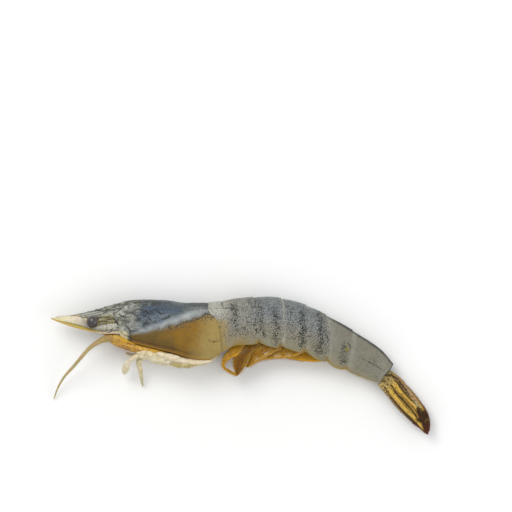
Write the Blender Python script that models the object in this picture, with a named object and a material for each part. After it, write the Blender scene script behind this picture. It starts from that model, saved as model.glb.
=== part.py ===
# Raw prawn with its head on, lying on its right side on a table, in metres with +Z up.
# +X runs from the head to the tail, +Y towards the back of the animal, and the table is Z = 0.
# The values below are in millimetres and degrees. "Side" is a distance from the animal's
# middle plane: positive is its left side, which lies uppermost.
import math

import bmesh
import bpy
import numpy as np

MM = 0.001
GAP = 0.3
REST_FLAT = 0.35
RING_SIDES = 24
STRIP_SIDES = 8
CREASE_ANGLE = 50
SIDES = (("left", 1), ("right", -1))

# Middle line of the abdomen: a straight start, an even bend, then straight again
AXIS_START = (-6.6, 17.4)
AXIS_LENGTH = 70.0
HEADING_FRONT = 2.0
HEADING_REAR = -33.0
BEND_FROM = 9.0
BEND_TO = 50.0
AXIS_STEPS = 280

# Abdomen measured from that line at stations along it
ABDOMEN = {
    "station": (0, 11, 21, 30, 38, 46, 52, 58, 64, 70),
    "back": (9.2, 9.6, 10.1, 9.7, 8.9, 8.0, 7.8, 7.7, 7.1, 4.7),
    "belly": (9.4, 9.4, 9.8, 9.5, 9.2, 8.8, 7.6, 6.8, 5.8, 4.8),
    "half_width": (8.6, 8.6, 8.5, 8.2, 7.7, 7.1, 6.5, 5.9, 5.3, 4.4),
    "groove": (5.0, 5.0, 5.0, 5.0, 4.6, 4.0, 2.4, 1.2, 0.8, 0.5),
}
# Rear edge of the carapace, then of each abdominal segment: the station at the back and at
# the belly, with the edge straight between them as seen from the side
REAR_EDGES = ((-5.2, -1.2), (11.2, 14.8), (21.0, 24.8), (30.2, 36.2), (37.9, 47.1), (48.9, 55.8),
              (70.0, 68.5))
FRONT_EDGE_1 = (-0.2, -0.7)
# Each segment has a neck in front that sits in the socket behind the segment before it
NECK_DEPTH = 1.6
NECK_OVERRUN = 0.2
SOCKET_DEPTH = 2.7
SOCKET_LIP = 0.1
NECK_SIZE = 0.89
SOCKET_SIZE = 0.94
FIRST_NECK_SIZE = 0.80
FIRST_SOCKET_SIZE = 0.845
NECK_BELLY = 0.52
FIRST_NECK_BELLY = 0.9
FIRST_COLLAR_SIZE = 0.93
END_LOBE = 0.93
SHELL_FRONT_SIZE = 0.965
SHELL_REAR_SIZE = 1.01
SHELL_RINGS = 8
SEGMENTS = 6

# Cross-section: powers that square its flanks and belly, and the belly groove's reach in
# radians from the belly's middle with the width of its slopes
FLANK_POWER = 0.82
BELLY_POWER = 0.62
GROOVE_REACH = 0.95
GROOVE_SLOPE = 0.65

# Carapace from its rear edge to the tip of the rostrum
CARAPACE = {
    "x": (-7, -13, -20, -28, -36, -44, -46.5, -48.4, -49.7, -51, -53, -55, -57.5, -61, -69),
    "back": (25.4, 25.3, 25.1, 26.1, 26.4, 26.2, 25.7, 25.2, 24.8, 24.4, 23.8, 23.2, 22.6, 21.6, 20.0),
    "edge": (4.4, 1.8, 2.0, 4.4, 6.6, 8.8, 9.8, 11.0, 13.8, 16.4, 18.2, 19.0, 19.6, 19.9, 19.6),
    "half_width": (8.6, 8.8, 9.1, 9.2, 8.9, 7.7, 7.1, 6.4, 5.7, 4.8, 3.4, 2.3, 1.5, 1.0, 0.4),
}
CARAPACE_RINGS = 36
CARAPACE_GROOVE = 1.6
# Height of the head's middle plane, which falls to the abdomen's over the carapace's last stretch
MIDDLE_HEIGHT = 8.85
MIDDLE_FALL = 0.6
FALL_FROM_X = -20.0
FALL_LENGTH = 12.0

EYE = {"x": -59.6, "y": 17.9, "side": 4.5, "radius": 2.4}
EYE_STALK = {
    "x": (-51.9, -54.6, -57.2),
    "y": (16.3, 16.8, 17.3),
    "side": (3.3, 4.0, 4.3),
    "radius": (1.1, 1.3, 1.4),
}
EYE_SIDES = 12
EYE_LATITUDES = range(30, 180, 20)

# Antennal scale: a blade sloping like a roof, its outer rim low and its inner rim near the middle
SCALE = {
    "x": (-51.3, -56.0, -61.0, -67.0, -73.0, -76.5),
    "outer_y": (12.9, 13.0, 13.9, 15.3, 17.4, 18.9),
    "outer_side": (5.2, 5.6, 5.7, 4.7, 2.9, 1.5),
    "inner_y": (14.8, 15.2, 15.9, 17.5, 18.6, 19.0),
    "inner_side": (1.3, 1.2, 1.0, 0.9, 0.7, 0.9),
}
SCALE_THICKNESS = 0.9
SCALE_RINGS = 10

# Round tapered pieces: x, y, side and radius at points along each
ANTENNULE = ((-51.8, 15.9, 1.2, 0.8), (-57.0, 17.7, 1.1, 0.8), (-63.0, 18.2, 1.0, 0.75),
             (-71.5, 19.1, 0.75, 0.35))
ANTENNA_BASE = ((-49.5, 11.3, 4.6, 1.1), (-51.2, 11.3, 4.9, 1.5), (-53.6, 11.4, 4.8, 0.95))
FEELER = ((-54.2, 11.4, 4.8, 0.85), (-59.5, 8.6, 4.0, 0.8), (-66.0, 2.8, 1.0, 0.65),
          (-71.2, -4.0, -3.4, 0.5), (-75.2, -13.6, -8.0, 0.25))
MOUTH_LEG = ((-39.8, 5.3, 2.4, 1.0), (-44.0, 6.9, 2.6, 1.6), (-49.0, 8.7, 2.4, 1.6), (-54.4, 10.8, 1.8, 0.6))

# Mouthparts between the antenna bases, with x, y, side and half height, and their half breadth
MOUTHPARTS = ((-50.6, 12.5, 0.0, 0.6), (-52.2, 12.7, 0.0, 0.9), (-54.0, 12.8, 0.0, 0.85),
              (-56.0, 13.2, 0.0, 0.4))
MOUTHPARTS_BREADTH = 2.7

# Walking legs by x, y, side and radius: the first two hang on the left and lie forward under
# the head on the right, and the others are folded back under the body on both sides
HANGING_LEGS = (
    ((-37.0, 4.0, 5.2, 0.8), (-41.6, 3.9, 4.6, 0.85), (-44.6, 2.2, 3.0, 0.75), (-46.4, -1.4, -1.0, 1.3),
     (-47.1, -3.6, -3.0, 0.9)),
    ((-38.6, 3.4, 1.0, 0.8), (-40.7, 2.2, 0.6, 0.95), (-40.4, -2.4, -3.0, 0.85), (-39.6, -8.8, -7.4, 0.3)),
)
FORWARD_LEGS = (
    ((-37.0, 4.4, 5.2, 0.8), (-42.0, 5.8, 5.2, 0.9), (-46.4, 7.8, 4.9, 0.8), (-49.0, 9.2, 4.6, 0.5)),
    ((-38.4, 2.9, 3.2, 0.75), (-41.5, 3.6, 3.6, 0.75), (-44.4, 4.2, 4.0, 0.6), (-46.6, 5.1, 4.2, 0.35)),
)
FOLDED_LEGS = (
    ((-36.5, 2.6, 3.4, 0.9), (-30.0, 1.3, 3.6, 1.2), (-22.0, 0.3, 3.4, 1.1), (-13.0, 0.9, 3.2, 0.45)),
    ((-34.4, 4.5, 5.6, 0.9), (-30.0, 3.4, 5.8, 1.2), (-22.0, 1.3, 5.6, 1.0), (-16.0, 0.5, 5.0, 0.4)),
    ((-36.0, 1.9, 1.0, 0.8), (-28.0, 0.6, 1.0, 0.85), (-22.0, 0.2, 0.9, 0.75), (-15.0, 0.6, 0.9, 0.35)),
)

# Swimmerets: flat curved blades swept forward, with x, y, side and half width at points along each
SWIMMERETS = (
    ((-0.2, 9.0, 3.0, 1.0), (-3.4, 5.6, 4.0, 1.0), (-6.6, 2.2, 4.0, 0.8), (-6.4, -0.6, 3.6, 0.65),
     (-1.5, -4.0, 2.4, 0.75)),
    ((7.2, 9.0, 3.0, 0.9), (3.4, 6.2, 3.6, 1.5), (0.4, 2.0, 3.4, 1.8), (-0.5, -2.6, 2.6, 1.1)),
    ((15.6, 8.2, 3.0, 0.9), (10.0, 5.6, 3.4, 1.5), (4.4, 2.0, 2.0, 1.4), (1.2, -2.6, 1.2, 0.8)),
    ((25.0, 6.6, 2.8, 0.9), (19.6, 5.0, 3.2, 1.5), (12.4, 4.3, 2.0, 1.4), (6.6, 2.4, 0.9, 0.7)),
    ((32.6, 2.6, 2.4, 0.9), (28.0, 2.9, 3.0, 1.3), (22.0, 3.7, 2.0, 1.3), (16.0, 3.9, 0.9, 0.7)),
)
SWIMMERET_THICKNESS = 0.8
SWIMMERET_CAMBER = 0.3

# Tail fan: blades with x, y, half width and half thickness along each, stacked across the fan
TELSON = ((57.6, -2.6, 1.6, 0.7), (62.0, -6.4, 2.2, 0.6), (66.6, -12.4, 1.8, 0.5), (71.6, -19.4, 0.5, 0.4))
INNER_BLADE = ((56.8, -4.6, 1.3, 0.45), (61.6, -9.0, 2.9, 0.42), (67.6, -16.2, 3.9, 0.42),
               (72.6, -22.6, 3.0, 0.4), (75.0, -26.8, 1.0, 0.3))
OUTER_BLADE = ((55.2, -7.0, 1.3, 0.45), (59.7, -11.2, 2.3, 0.45), (65.6, -17.8, 2.8, 0.42),
               (70.8, -23.5, 2.3, 0.4), (74.6, -27.5, 0.9, 0.3))
INNER_SIDE = 1.2
OUTER_SIDE = 2.4
BLADE_CAMBER = 0.5

# Rings along each kind of limb
RINGS = {"antenna": 9, "mouth": 7, "feeler": 30, "leg": 12, "short_leg": 10, "swimmeret": 11, "blade": 12}

COLOURS = {
    "shell_grey": ((0.22, 0.24, 0.22), 0.35),
    "carapace": ((0.20, 0.19, 0.14), 0.35),
    "eye": ((0.02, 0.015, 0.02), 0.15),
    "scale": ((0.50, 0.45, 0.33), 0.4),
    "golden": ((0.50, 0.27, 0.07), 0.4),
    "cream": ((0.55, 0.45, 0.33), 0.4),
    "tail": ((0.30, 0.20, 0.07), 0.35),
}


def clear_scene():
    for item in list(bpy.data.objects):
        bpy.data.objects.remove(item, do_unlink=True)


def material(kind):
    name = "prawn_" + kind
    made = bpy.data.materials.get(name)
    if made:
        return made
    colour, roughness = COLOURS[kind]
    made = bpy.data.materials.new(name)
    made.use_nodes = True
    shader = made.node_tree.nodes["Principled BSDF"]
    shader.inputs["Base Color"].default_value = (*colour, 1.0)
    shader.inputs["Roughness"].default_value = roughness
    shader.inputs["Metallic"].default_value = 0.0
    return made


def smooth_rail(at, stations, values):
    # Cubic through the stations with slopes from their neighbours
    at = np.asarray(at, dtype=float)
    stations = np.asarray(stations, dtype=float)
    values = np.asarray(values, dtype=float)
    if stations[0] > stations[-1]:
        stations, values = stations[::-1], values[::-1]
    slopes = np.gradient(values, stations)
    left = np.clip(np.searchsorted(stations, at) - 1, 0, len(stations) - 2)
    span = stations[left + 1] - stations[left]
    u = np.clip((at - stations[left]) / span, 0.0, 1.0)
    return (
        (2 * u**3 - 3 * u**2 + 1) * values[left]
        + (u**3 - 2 * u**2 + u) * span * slopes[left]
        + (3 * u**2 - 2 * u**3) * values[left + 1]
        + (u**3 - u**2) * span * slopes[left + 1]
    )


def read_rails(rails, key, at):
    # The other values of a table of rails at one place along it
    return [float(smooth_rail(at, rails[key], values)) for name, values in rails.items() if name != key]


def through(points, count):
    # Evenly spread places on a smooth line through the points, one column per value
    points = np.asarray(points, dtype=float)
    lengths = np.linalg.norm(np.diff(points[:, :3], axis=0), axis=1)
    along = np.concatenate([[0.0], np.cumsum(lengths)])
    at = np.linspace(0.0, along[-1], count)
    return np.stack([smooth_rail(at, along, column) for column in points.T], axis=1)


def axis_place(station):
    # Place and heading on the abdomen's middle line; before the start it runs straight on
    station = np.asarray(station, dtype=float)
    steps = np.linspace(0.0, AXIS_LENGTH, AXIS_STEPS + 1)
    bend = np.clip((steps - BEND_FROM) / (BEND_TO - BEND_FROM), 0.0, 1.0)
    heading = np.radians(HEADING_FRONT + (HEADING_REAR - HEADING_FRONT) * bend)
    middle = (heading[1:] + heading[:-1]) / 2
    step = steps[1]
    x = AXIS_START[0] + np.concatenate([[0.0], np.cumsum(np.cos(middle) * step)])
    y = AXIS_START[1] + np.concatenate([[0.0], np.cumsum(np.sin(middle) * step)])
    before = np.minimum(station, 0.0)
    turn = np.interp(station, steps, heading)
    px = np.interp(station, steps, x) + before * math.cos(heading[0])
    py = np.interp(station, steps, y) + before * math.sin(heading[0])
    return px, py, turn


def section(back, belly, half_width, groove):
    # Closed cross-section from the back round the left side: height above the middle line
    # and side. The belly is boxy, with a groove between its two lower edges.
    t = np.arange(RING_SIDES) * 2 * math.pi / RING_SIDES
    side = half_width * np.sign(np.sin(t)) * np.abs(np.sin(t)) ** FLANK_POWER
    from_belly = np.abs(t - math.pi)
    sunk = np.clip((GROOVE_REACH - from_belly) / GROOVE_SLOPE, 0.0, 1.0)
    sunk = sunk * sunk * (3 - 2 * sunk)
    low = belly * np.abs(np.cos(t)) ** BELLY_POWER - groove * sunk
    low = low * belly / max(low[np.cos(t) < 0])
    height = np.where(np.cos(t) >= 0, back * np.abs(np.cos(t)), -low)
    return height, side


def neck_section(back, belly, half_width):
    # The round inner part of a segment
    t = np.arange(RING_SIDES) * 2 * math.pi / RING_SIDES
    height = np.where(np.cos(t) >= 0, back, belly) * np.cos(t)
    return height, half_width * np.sin(t)


def body_ring(edge, offset, size, lobe=1.0, neck=0.0):
    # One ring of the abdomen on a slanting edge, given by its stations at the back and belly.
    # A neck or socket gives the share of the belly's depth that it reaches.
    mean = (edge[0] + edge[1]) / 2 + offset
    back, belly, half_width, groove = read_rails(ABDOMEN, "station", mean)
    if neck:
        height, side = neck_section(back, belly * neck, half_width)
    else:
        height, side = section(back, belly * lobe, half_width, groove)
    height = height * size
    side = side * size
    share = 0.5 - 0.5 * np.where(height >= 0, height / back, height / belly)
    px, py, turn = axis_place(edge[0] + (edge[1] - edge[0]) * share + offset)
    x = px - np.sin(turn) * height
    y = py + np.cos(turn) * height
    z = np.maximum(half_width - REST_FLAT + side, 0.0)
    return np.stack([x, y, z], axis=1)


def carapace_ring(along):
    # One ring of the carapace, 0 at its slanting rear edge and 1 at the tip of the rostrum
    rear = axis_place(REAR_EDGES[0])[0]
    tip = CARAPACE["x"][-1]
    mean = rear.mean() + (tip - rear.mean()) * along
    back, edge, half_width = read_rails(CARAPACE, "x", mean)
    half = (back - edge) / 2
    height, side = section(half, half, half_width, CARAPACE_GROOVE * min(1.0, half / 10.0))
    share = 0.5 - 0.5 * height / half
    start = rear[0] + (rear[1] - rear[0]) * share
    lift = MIDDLE_HEIGHT - MIDDLE_FALL * max(0.0, (mean - FALL_FROM_X) / FALL_LENGTH)
    x = start + (tip - start) * along
    return np.stack([x, (back + edge) / 2 + height, np.maximum(lift + side, 0.0)], axis=1)


def loft(name, rings, kind):
    # Skin over rings of equal count, closed at both ends by a point in their middle
    bm = bmesh.new()
    loops = [[bm.verts.new(tuple(point * MM)) for point in ring] for ring in rings]
    for first, second in zip(loops, loops[1:]):
        count = len(first)
        for k in range(count):
            bm.faces.new((first[k], first[(k + 1) % count], second[(k + 1) % count], second[k]))
    for ring, loop in ((rings[0], loops[0]), (rings[-1], loops[-1])):
        pole = bm.verts.new(tuple(ring.mean(axis=0) * MM))
        for k in range(len(loop)):
            bm.faces.new((pole, loop[k], loop[(k + 1) % len(loop)]))
    bmesh.ops.recalc_face_normals(bm, faces=bm.faces[:])
    bmesh.ops.triangulate(bm, faces=bm.faces[:])
    mesh = bpy.data.meshes.new(name)
    bm.to_mesh(mesh)
    bm.free()
    mesh.shade_smooth()
    mesh.set_sharp_from_angle(angle=math.radians(CREASE_ANGLE))
    mesh.materials.append(material(kind))
    bpy.context.scene.collection.objects.link(bpy.data.objects.new(name, mesh))


def make_carapace():
    rings = [
        body_ring(REAR_EDGES[0], offset, FIRST_SOCKET_SIZE, neck=FIRST_NECK_BELLY)
        for offset in (-SOCKET_DEPTH, -SOCKET_LIP)
    ]
    rings += [carapace_ring(along) for along in np.linspace(0.0, 1.0, CARAPACE_RINGS)]
    loft("carapace", rings, "carapace")


def make_segment(number):
    front = np.array(REAR_EDGES[number - 1])
    rear = np.array(REAR_EDGES[number])
    if number == 1:
        neck_size, neck_belly = FIRST_NECK_SIZE, FIRST_NECK_BELLY
    else:
        neck_size, neck_belly = NECK_SIZE, NECK_BELLY
    rings = [body_ring(front, offset, neck_size, neck=neck_belly) for offset in (-NECK_DEPTH, NECK_OVERRUN)]
    if number == 1:
        front = np.array(FRONT_EDGE_1)
        rings.append(body_ring(front, 0.0, FIRST_COLLAR_SIZE, neck=FIRST_NECK_BELLY))
    for share in np.linspace(0.0, 1.0, SHELL_RINGS):
        swell = SHELL_FRONT_SIZE + (SHELL_REAR_SIZE - SHELL_FRONT_SIZE) * math.sin(share * math.pi / 2)
        lobe = 1.0 - (1.0 - END_LOBE) * abs(2 * share - 1) ** 3
        rings.append(body_ring(front + (rear - front) * share, GAP * (1 - share), swell, lobe))
    socket = (-SOCKET_LIP, -SOCKET_DEPTH)
    rings += [body_ring(rear, offset, SOCKET_SIZE, neck=NECK_BELLY) for offset in socket]
    loft(f"abdomen_{number}", rings, "shell_grey")


def strip_ring(centre, forward, half_width, half_thickness, camber):
    # Flat oval, arched by the camber, across a path that runs mainly in the table plane
    across = np.array([-forward[1], forward[0], 0.0])
    across = across / np.linalg.norm(across)
    t = np.arange(STRIP_SIDES) * 2 * math.pi / STRIP_SIDES
    ring = centre + np.outer(np.cos(t) * half_width, across)
    ring[:, 2] += np.sin(t) * half_thickness - camber * np.cos(t) ** 2
    return ring


def make_strip(name, places, half_widths, half_thickness, camber, kind):
    half_thickness = np.broadcast_to(half_thickness, len(places))
    forward = np.gradient(places, axis=0)
    arch = camber * np.array(half_widths) / max(half_widths)
    rings = [strip_ring(*row) for row in zip(places, forward, half_widths, half_thickness, arch)]
    loft(name, rings, kind)


def make_tube(name, points, count, kind, resolution=1):
    # A tapered round piece: a curve with a bevel whose radius is set at each point
    places = through(points, count)
    curve = bpy.data.curves.new(name, "CURVE")
    curve.dimensions = "3D"
    curve.bevel_depth = 1.0
    curve.bevel_resolution = resolution
    curve.use_fill_caps = True
    spline = curve.splines.new("POLY")
    spline.points.add(count - 1)
    for point, (x, y, z, radius) in zip(spline.points, places):
        point.co = (x * MM, y * MM, z * MM, 1.0)
        point.radius = radius * MM
    spline.use_smooth = True
    curve.materials.append(material(kind))
    bpy.context.scene.collection.objects.link(bpy.data.objects.new(name, curve))


def sided(points, sign, middle=MIDDLE_HEIGHT):
    # Points given by side become points given by height, on the left (1) or right (-1)
    return [(x, y, middle + sign * side, size) for x, y, side, size in points]


def make_eye(name, sign):
    stalk = np.stack([EYE_STALK["x"], EYE_STALK["y"], sign * np.array(EYE_STALK["side"])], axis=1)
    stalk[:, 2] += MIDDLE_HEIGHT
    radii = np.array(EYE_STALK["radius"])
    centre = np.array([EYE["x"], EYE["y"], MIDDLE_HEIGHT + sign * EYE["side"]])
    forward = centre - stalk[0]
    forward = forward / np.linalg.norm(forward)
    across = np.cross(forward, (0.0, 0.0, 1.0))
    across = across / np.linalg.norm(across)
    up = np.cross(across, forward)
    t = np.arange(EYE_SIDES) * 2 * math.pi / EYE_SIDES
    circle = np.outer(np.cos(t), across) + np.outer(np.sin(t), up)
    rings = [place + circle * radius for place, radius in zip(stalk, radii)]
    for turn in np.radians(EYE_LATITUDES):
        rings.append(centre + EYE["radius"] * (circle * math.sin(turn) - forward * math.cos(turn)))
    loft(name, rings, "eye")


def make_scale(name, sign):
    rings = []
    t = np.arange(STRIP_SIDES) * 2 * math.pi / STRIP_SIDES
    for x in np.linspace(SCALE["x"][0], SCALE["x"][-1], SCALE_RINGS):
        outer_y, outer_side, inner_y, inner_side = read_rails(SCALE, "x", x)
        outer = np.array([x, outer_y, MIDDLE_HEIGHT + sign * outer_side])
        inner = np.array([x, inner_y, MIDDLE_HEIGHT + sign * inner_side])
        half = (outer - inner) / 2
        normal = np.cross(half, (1.0, 0.0, 0.0))
        normal = normal / np.linalg.norm(normal)
        rings.append((outer + inner) / 2 + np.outer(np.cos(t), half)
                     + np.outer(np.sin(t), normal) * SCALE_THICKNESS / 2)
    loft(name, rings, "scale")


def make_mouthparts():
    places = through(sided(MOUTHPARTS, 1), RINGS["mouth"])
    breadth = MOUTHPARTS_BREADTH * places[:, 3] / places[:, 3].max()
    make_strip("mouthparts", places[:, :3], places[:, 3], breadth, 0.0, "golden")


def make_tail():
    middle = float(ABDOMEN["half_width"][-1]) - REST_FLAT
    blades = [("telson", TELSON, 0.0)]
    for word, sign in SIDES:
        blades.append((f"tail_blade_inner_{word}", INNER_BLADE, sign * INNER_SIDE))
        blades.append((f"tail_blade_outer_{word}", OUTER_BLADE, sign * OUTER_SIDE))
    for name, outline, side in blades:
        places = through([(x, y, middle + side, *sizes) for x, y, *sizes in outline], RINGS["blade"])
        make_strip(name, places[:, :3], places[:, 3], places[:, 4], BLADE_CAMBER * np.sign(side), "tail")


def centre_on_origin():
    # The middle of the bounding box's bottom goes to the origin
    bpy.context.view_layer.update()
    depsgraph = bpy.context.evaluated_depsgraph_get()
    corners = []
    for item in bpy.context.scene.objects:
        shape = item.evaluated_get(depsgraph).to_mesh()
        corners.append([item.matrix_world @ vertex.co for vertex in shape.vertices])
    points = np.array([tuple(corner) for group in corners for corner in group])
    low = points.min(axis=0)
    high = points.max(axis=0)
    for item in bpy.context.scene.objects:
        item.location.x -= (low[0] + high[0]) / 2
        item.location.y -= (low[1] + high[1]) / 2
        item.location.z -= low[2]


def make_legs():
    for number, points in enumerate(HANGING_LEGS, start=1):
        make_tube(f"leg_{number}_left", sided(points, 1), RINGS["leg"], "cream")
    for number, points in enumerate(FORWARD_LEGS, start=1):
        make_tube(f"leg_{number}_right", sided(points, -1), RINGS["short_leg"], "cream")
    for word, sign in SIDES:
        for number, points in enumerate(FOLDED_LEGS, start=3):
            make_tube(f"leg_{number}_{word}", sided(points, sign), RINGS["leg"], "cream")


def make_swimmerets():
    for number, points in enumerate(SWIMMERETS, start=1):
        root_station = points[0][0] - AXIS_START[0]
        middle = float(smooth_rail(root_station, ABDOMEN["station"], ABDOMEN["half_width"])) - REST_FLAT
        for word, sign in SIDES:
            places = through(sided(points, sign, middle), RINGS["swimmeret"])
            name = f"swimmeret_{number}_{word}"
            arch = SWIMMERET_CAMBER * sign
            make_strip(name, places[:, :3], places[:, 3], SWIMMERET_THICKNESS / 2, arch, "golden")


def main():
    clear_scene()
    make_carapace()
    for number in range(1, SEGMENTS + 1):
        make_segment(number)
    make_tail()
    for word, sign in SIDES:
        make_eye(f"eye_{word}", sign)
        make_scale(f"antennal_scale_{word}", sign)
        make_tube(f"antennule_{word}", sided(ANTENNULE, sign), RINGS["antenna"], "scale")
        make_tube(f"antenna_base_{word}", sided(ANTENNA_BASE, sign), RINGS["antenna"], "golden", 2)
        make_tube(f"mouth_leg_{word}", sided(MOUTH_LEG, sign), RINGS["antenna"], "golden")
    make_mouthparts()
    make_tube("feeler", sided(FEELER, 1), RINGS["feeler"], "golden")
    make_legs()
    make_swimmerets()
    centre_on_origin()


main()
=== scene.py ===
import math

import bpy
import numpy as np
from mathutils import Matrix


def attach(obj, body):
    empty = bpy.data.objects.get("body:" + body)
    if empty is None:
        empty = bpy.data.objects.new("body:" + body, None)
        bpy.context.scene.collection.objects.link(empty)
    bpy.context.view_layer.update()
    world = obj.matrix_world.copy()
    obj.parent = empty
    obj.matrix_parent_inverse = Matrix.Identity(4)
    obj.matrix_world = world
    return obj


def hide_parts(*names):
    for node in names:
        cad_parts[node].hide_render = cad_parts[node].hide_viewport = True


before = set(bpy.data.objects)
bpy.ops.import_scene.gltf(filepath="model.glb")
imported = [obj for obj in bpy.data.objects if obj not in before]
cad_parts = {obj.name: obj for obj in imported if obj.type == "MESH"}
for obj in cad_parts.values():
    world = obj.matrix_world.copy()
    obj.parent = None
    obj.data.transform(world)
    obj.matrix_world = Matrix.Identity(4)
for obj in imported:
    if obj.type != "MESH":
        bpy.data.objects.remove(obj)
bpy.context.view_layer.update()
print("frame loaded:", len(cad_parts), "nodes")

drawing = {
    "mm": 0.001,
    "shift": (0.3126, 0.2810, 0.0),   # moves the drawing's zero to the middle of the box
    "headMiddle": 8.85,               # height of the head's middle plane above the table
    "middleFall": 0.6,                # and how far it falls towards the abdomen
    "fallFrom": -20.0,
    "fallLength": 12.0,
    "restFlat": 0.35,                 # how far the flank is pressed flat on the table
}
bothSides = (("left", 1), ("right", -1))


# Rails and small sums

def smoothRail(at, stations, values):
    # Cubic through the stations, with each slope taken from its neighbours
    at, stations, values = (np.asarray(part, dtype=float) for part in (at, stations, values))
    if stations[0] > stations[-1]:
        stations, values = stations[::-1], values[::-1]
    slopes = np.gradient(values, stations)
    left = np.clip(np.searchsorted(stations, at) - 1, 0, len(stations) - 2)
    span = stations[left + 1] - stations[left]
    u = np.clip((at - stations[left]) / span, 0.0, 1.0)
    return ((2 * u**3 - 3 * u**2 + 1) * values[left] + (u**3 - 2 * u**2 + u) * span * slopes[left]
            + (3 * u**2 - 2 * u**3) * values[left + 1] + (u**3 - u**2) * span * slopes[left + 1])


def through(points, count):
    # Evenly spread places on a smooth line through the points, one column per value
    points = np.asarray(points, dtype=float)
    lengths = np.linalg.norm(np.diff(points[:, :3], axis=0), axis=1)
    along = np.concatenate([[0.0], np.cumsum(lengths)])
    at = np.linspace(0.0, along[-1], count)
    return np.stack([smoothRail(at, along, column) for column in points.T], axis=1)


def ramp(value, low, high):
    # 0 at low, 1 at high and a cubic between them, so it falls where high is the smaller of the two
    u = np.clip((np.asarray(value, dtype=float) - low) / (high - low), 0.0, 1.0)
    return u * u * (3 - 2 * u)


def hump(value, centre, width):
    # Bell curve of height 1
    return np.exp(-((np.asarray(value, dtype=float) - centre) / width) ** 2)


def unit(vectors):
    # The same directions, each of length 1
    return vectors / np.maximum(np.linalg.norm(vectors, axis=-1, keepdims=True), 1e-9)


def turns(count):
    # Angles evenly round a circle
    return np.arange(count) * 2 * math.pi / count


def rounded(count, power, reach=0.98, start=0.0):
    # What closes the end of a tube: the root of 1 less a power of the share, which runs from start to reach
    return np.sqrt(1.0 - np.linspace(start, reach, count) ** power)


def waves(points, size, seed, count=14):
    # Sum of cosine waves in seeded directions, about as long as the size in mm: from -1 to 1
    rng = np.random.default_rng(seed)
    turn = unit(rng.normal(size=(count, 3))) * (2 * math.pi / (size * rng.uniform(0.6, 1.5, count)))[:, None]
    phase = rng.uniform(0, 2 * math.pi, count)
    return np.cos(points @ turn.T + phase).sum(axis=-1) / math.sqrt(count) * 0.7


def streaks(points, size, seed, slope=0.2, stretch=7.0):
    # The same waves drawn out along the head, on lines that rise by the slope
    along = (points[..., :1] + slope * points[..., 1:2]) / stretch
    across = points[..., 1:2] - slope * points[..., :1]
    return waves(np.concatenate([along, across, points[..., 2:]], axis=-1), size, seed, 22)


def lineMark(points, line, width, steps=40):
    # 1 on a smooth line in the table plane, less by a bell curve of the distance to its nearest run in mm;
    # the line is widest halfway and thins out at both ends
    route = through([(x, y, 0.0) for x, y in line], steps)[:, :2]
    flat = points.reshape(-1, 3)[:, :2]
    nearest = np.full(len(flat), 1e9)
    share = np.zeros(len(flat))
    for k in range(steps - 1):
        run = route[k + 1] - route[k]
        part = np.clip(((flat - route[k]) @ run) / (run @ run), 0.0, 1.0)
        away = np.linalg.norm(flat - route[k] - part[:, None] * run, axis=1)
        closer = away < nearest
        nearest = np.where(closer, away, nearest)
        share = np.where(closer, (k + part) / (steps - 1), share)
    taper = 0.35 + 0.65 * np.sin(share * math.pi)
    return np.exp(-(nearest / (width * taper)) ** 2).reshape(points.shape[:-1])


def marked(points, lines):
    # The strongest mark at each place of several lines, each given with its width
    return np.max([0 * points[..., 0], *(lineMark(points, line, width) for line, width in lines)], axis=0)


def sided(points, sign, middle=drawing["headMiddle"]):
    # Points given by side become points given by height, on the left (1) or right (-1)
    return [(x, y, middle + sign * side, *rest) for x, y, side, *rest in points]


# Surfaces from grids

def onTable(points):
    # Nothing sinks below the table
    points[..., 2] = np.maximum(points[..., 2], 0.0)
    return points


def relieve(points, amount):
    # Each place moves by the amount in mm along its normal: the cross product of the grid's two directions,
    # turned away from the middle of each ring
    around = (np.roll(points, -1, axis=1) - np.roll(points, 1, axis=1)) / 2
    normal = unit(np.cross(np.gradient(points, axis=0), around))
    if (normal * (points - points.mean(axis=1, keepdims=True))).sum() < 0:
        normal = -normal
    return onTable(points + normal * np.asarray(amount)[..., None])


def quadsOf(index):
    # Quads between neighbouring rings of place numbers
    beside = np.roll(index, -1, axis=-1)
    corners = [index[..., :-1, :], beside[..., :-1, :], beside[..., 1:, :], index[..., 1:, :]]
    return np.stack(corners, axis=-1).reshape(-1, 4)


def skin(points, fields):
    # A closed shape from rings of places: quads between rings and a fan to a middle point at each end
    n, m = points.shape[:2]
    index = np.arange(n * m).reshape(n, m)
    quads = quadsOf(index)
    first = np.stack([np.full(m, n * m), np.roll(index[0], -1), index[0]], axis=-1)
    last = np.stack([np.full(m, n * m + 1), index[-1], np.roll(index[-1], -1)], axis=-1)
    tris = np.vstack([first, last])
    verts = np.vstack([points.reshape(-1, 3), points[0].mean(axis=0), points[-1].mean(axis=0)])
    a, b, c = (verts[quads[:, k]] for k in (0, 1, 2))
    if np.einsum("ij,ij->i", a - verts.mean(axis=0), np.cross(b - a, c - a)).sum() < 0:
        quads, tris = quads[:, ::-1], tris[:, ::-1]
    values = {}
    for name, field in fields.items():
        field = np.broadcast_to(field, (n, m))
        values[name] = np.concatenate([field.ravel(), [field[0].mean(), field[-1].mean()]])
    return {"verts": verts, "quads": quads, "tris": tris, "fields": values}


def tubeGrid(places, across, up, sides, camber=0.0):
    # Ovals square to a path, of half width across and half height up, which sag by the camber at their edges
    forward = unit(np.gradient(places, axis=0))
    side = unit(np.cross((0.0, 0.0, 1.0), forward))
    rise = np.cross(forward, side)
    across, up, camber = (np.broadcast_to(size, len(places))[:, None, None] for size in (across, up, camber))
    cos, sin = (wave(turns(sides))[None, :, None] for wave in (np.cos, np.sin))
    return places[:, None] + side[:, None] * across * cos + rise[:, None] * (up * sin - camber * cos**2)


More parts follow.
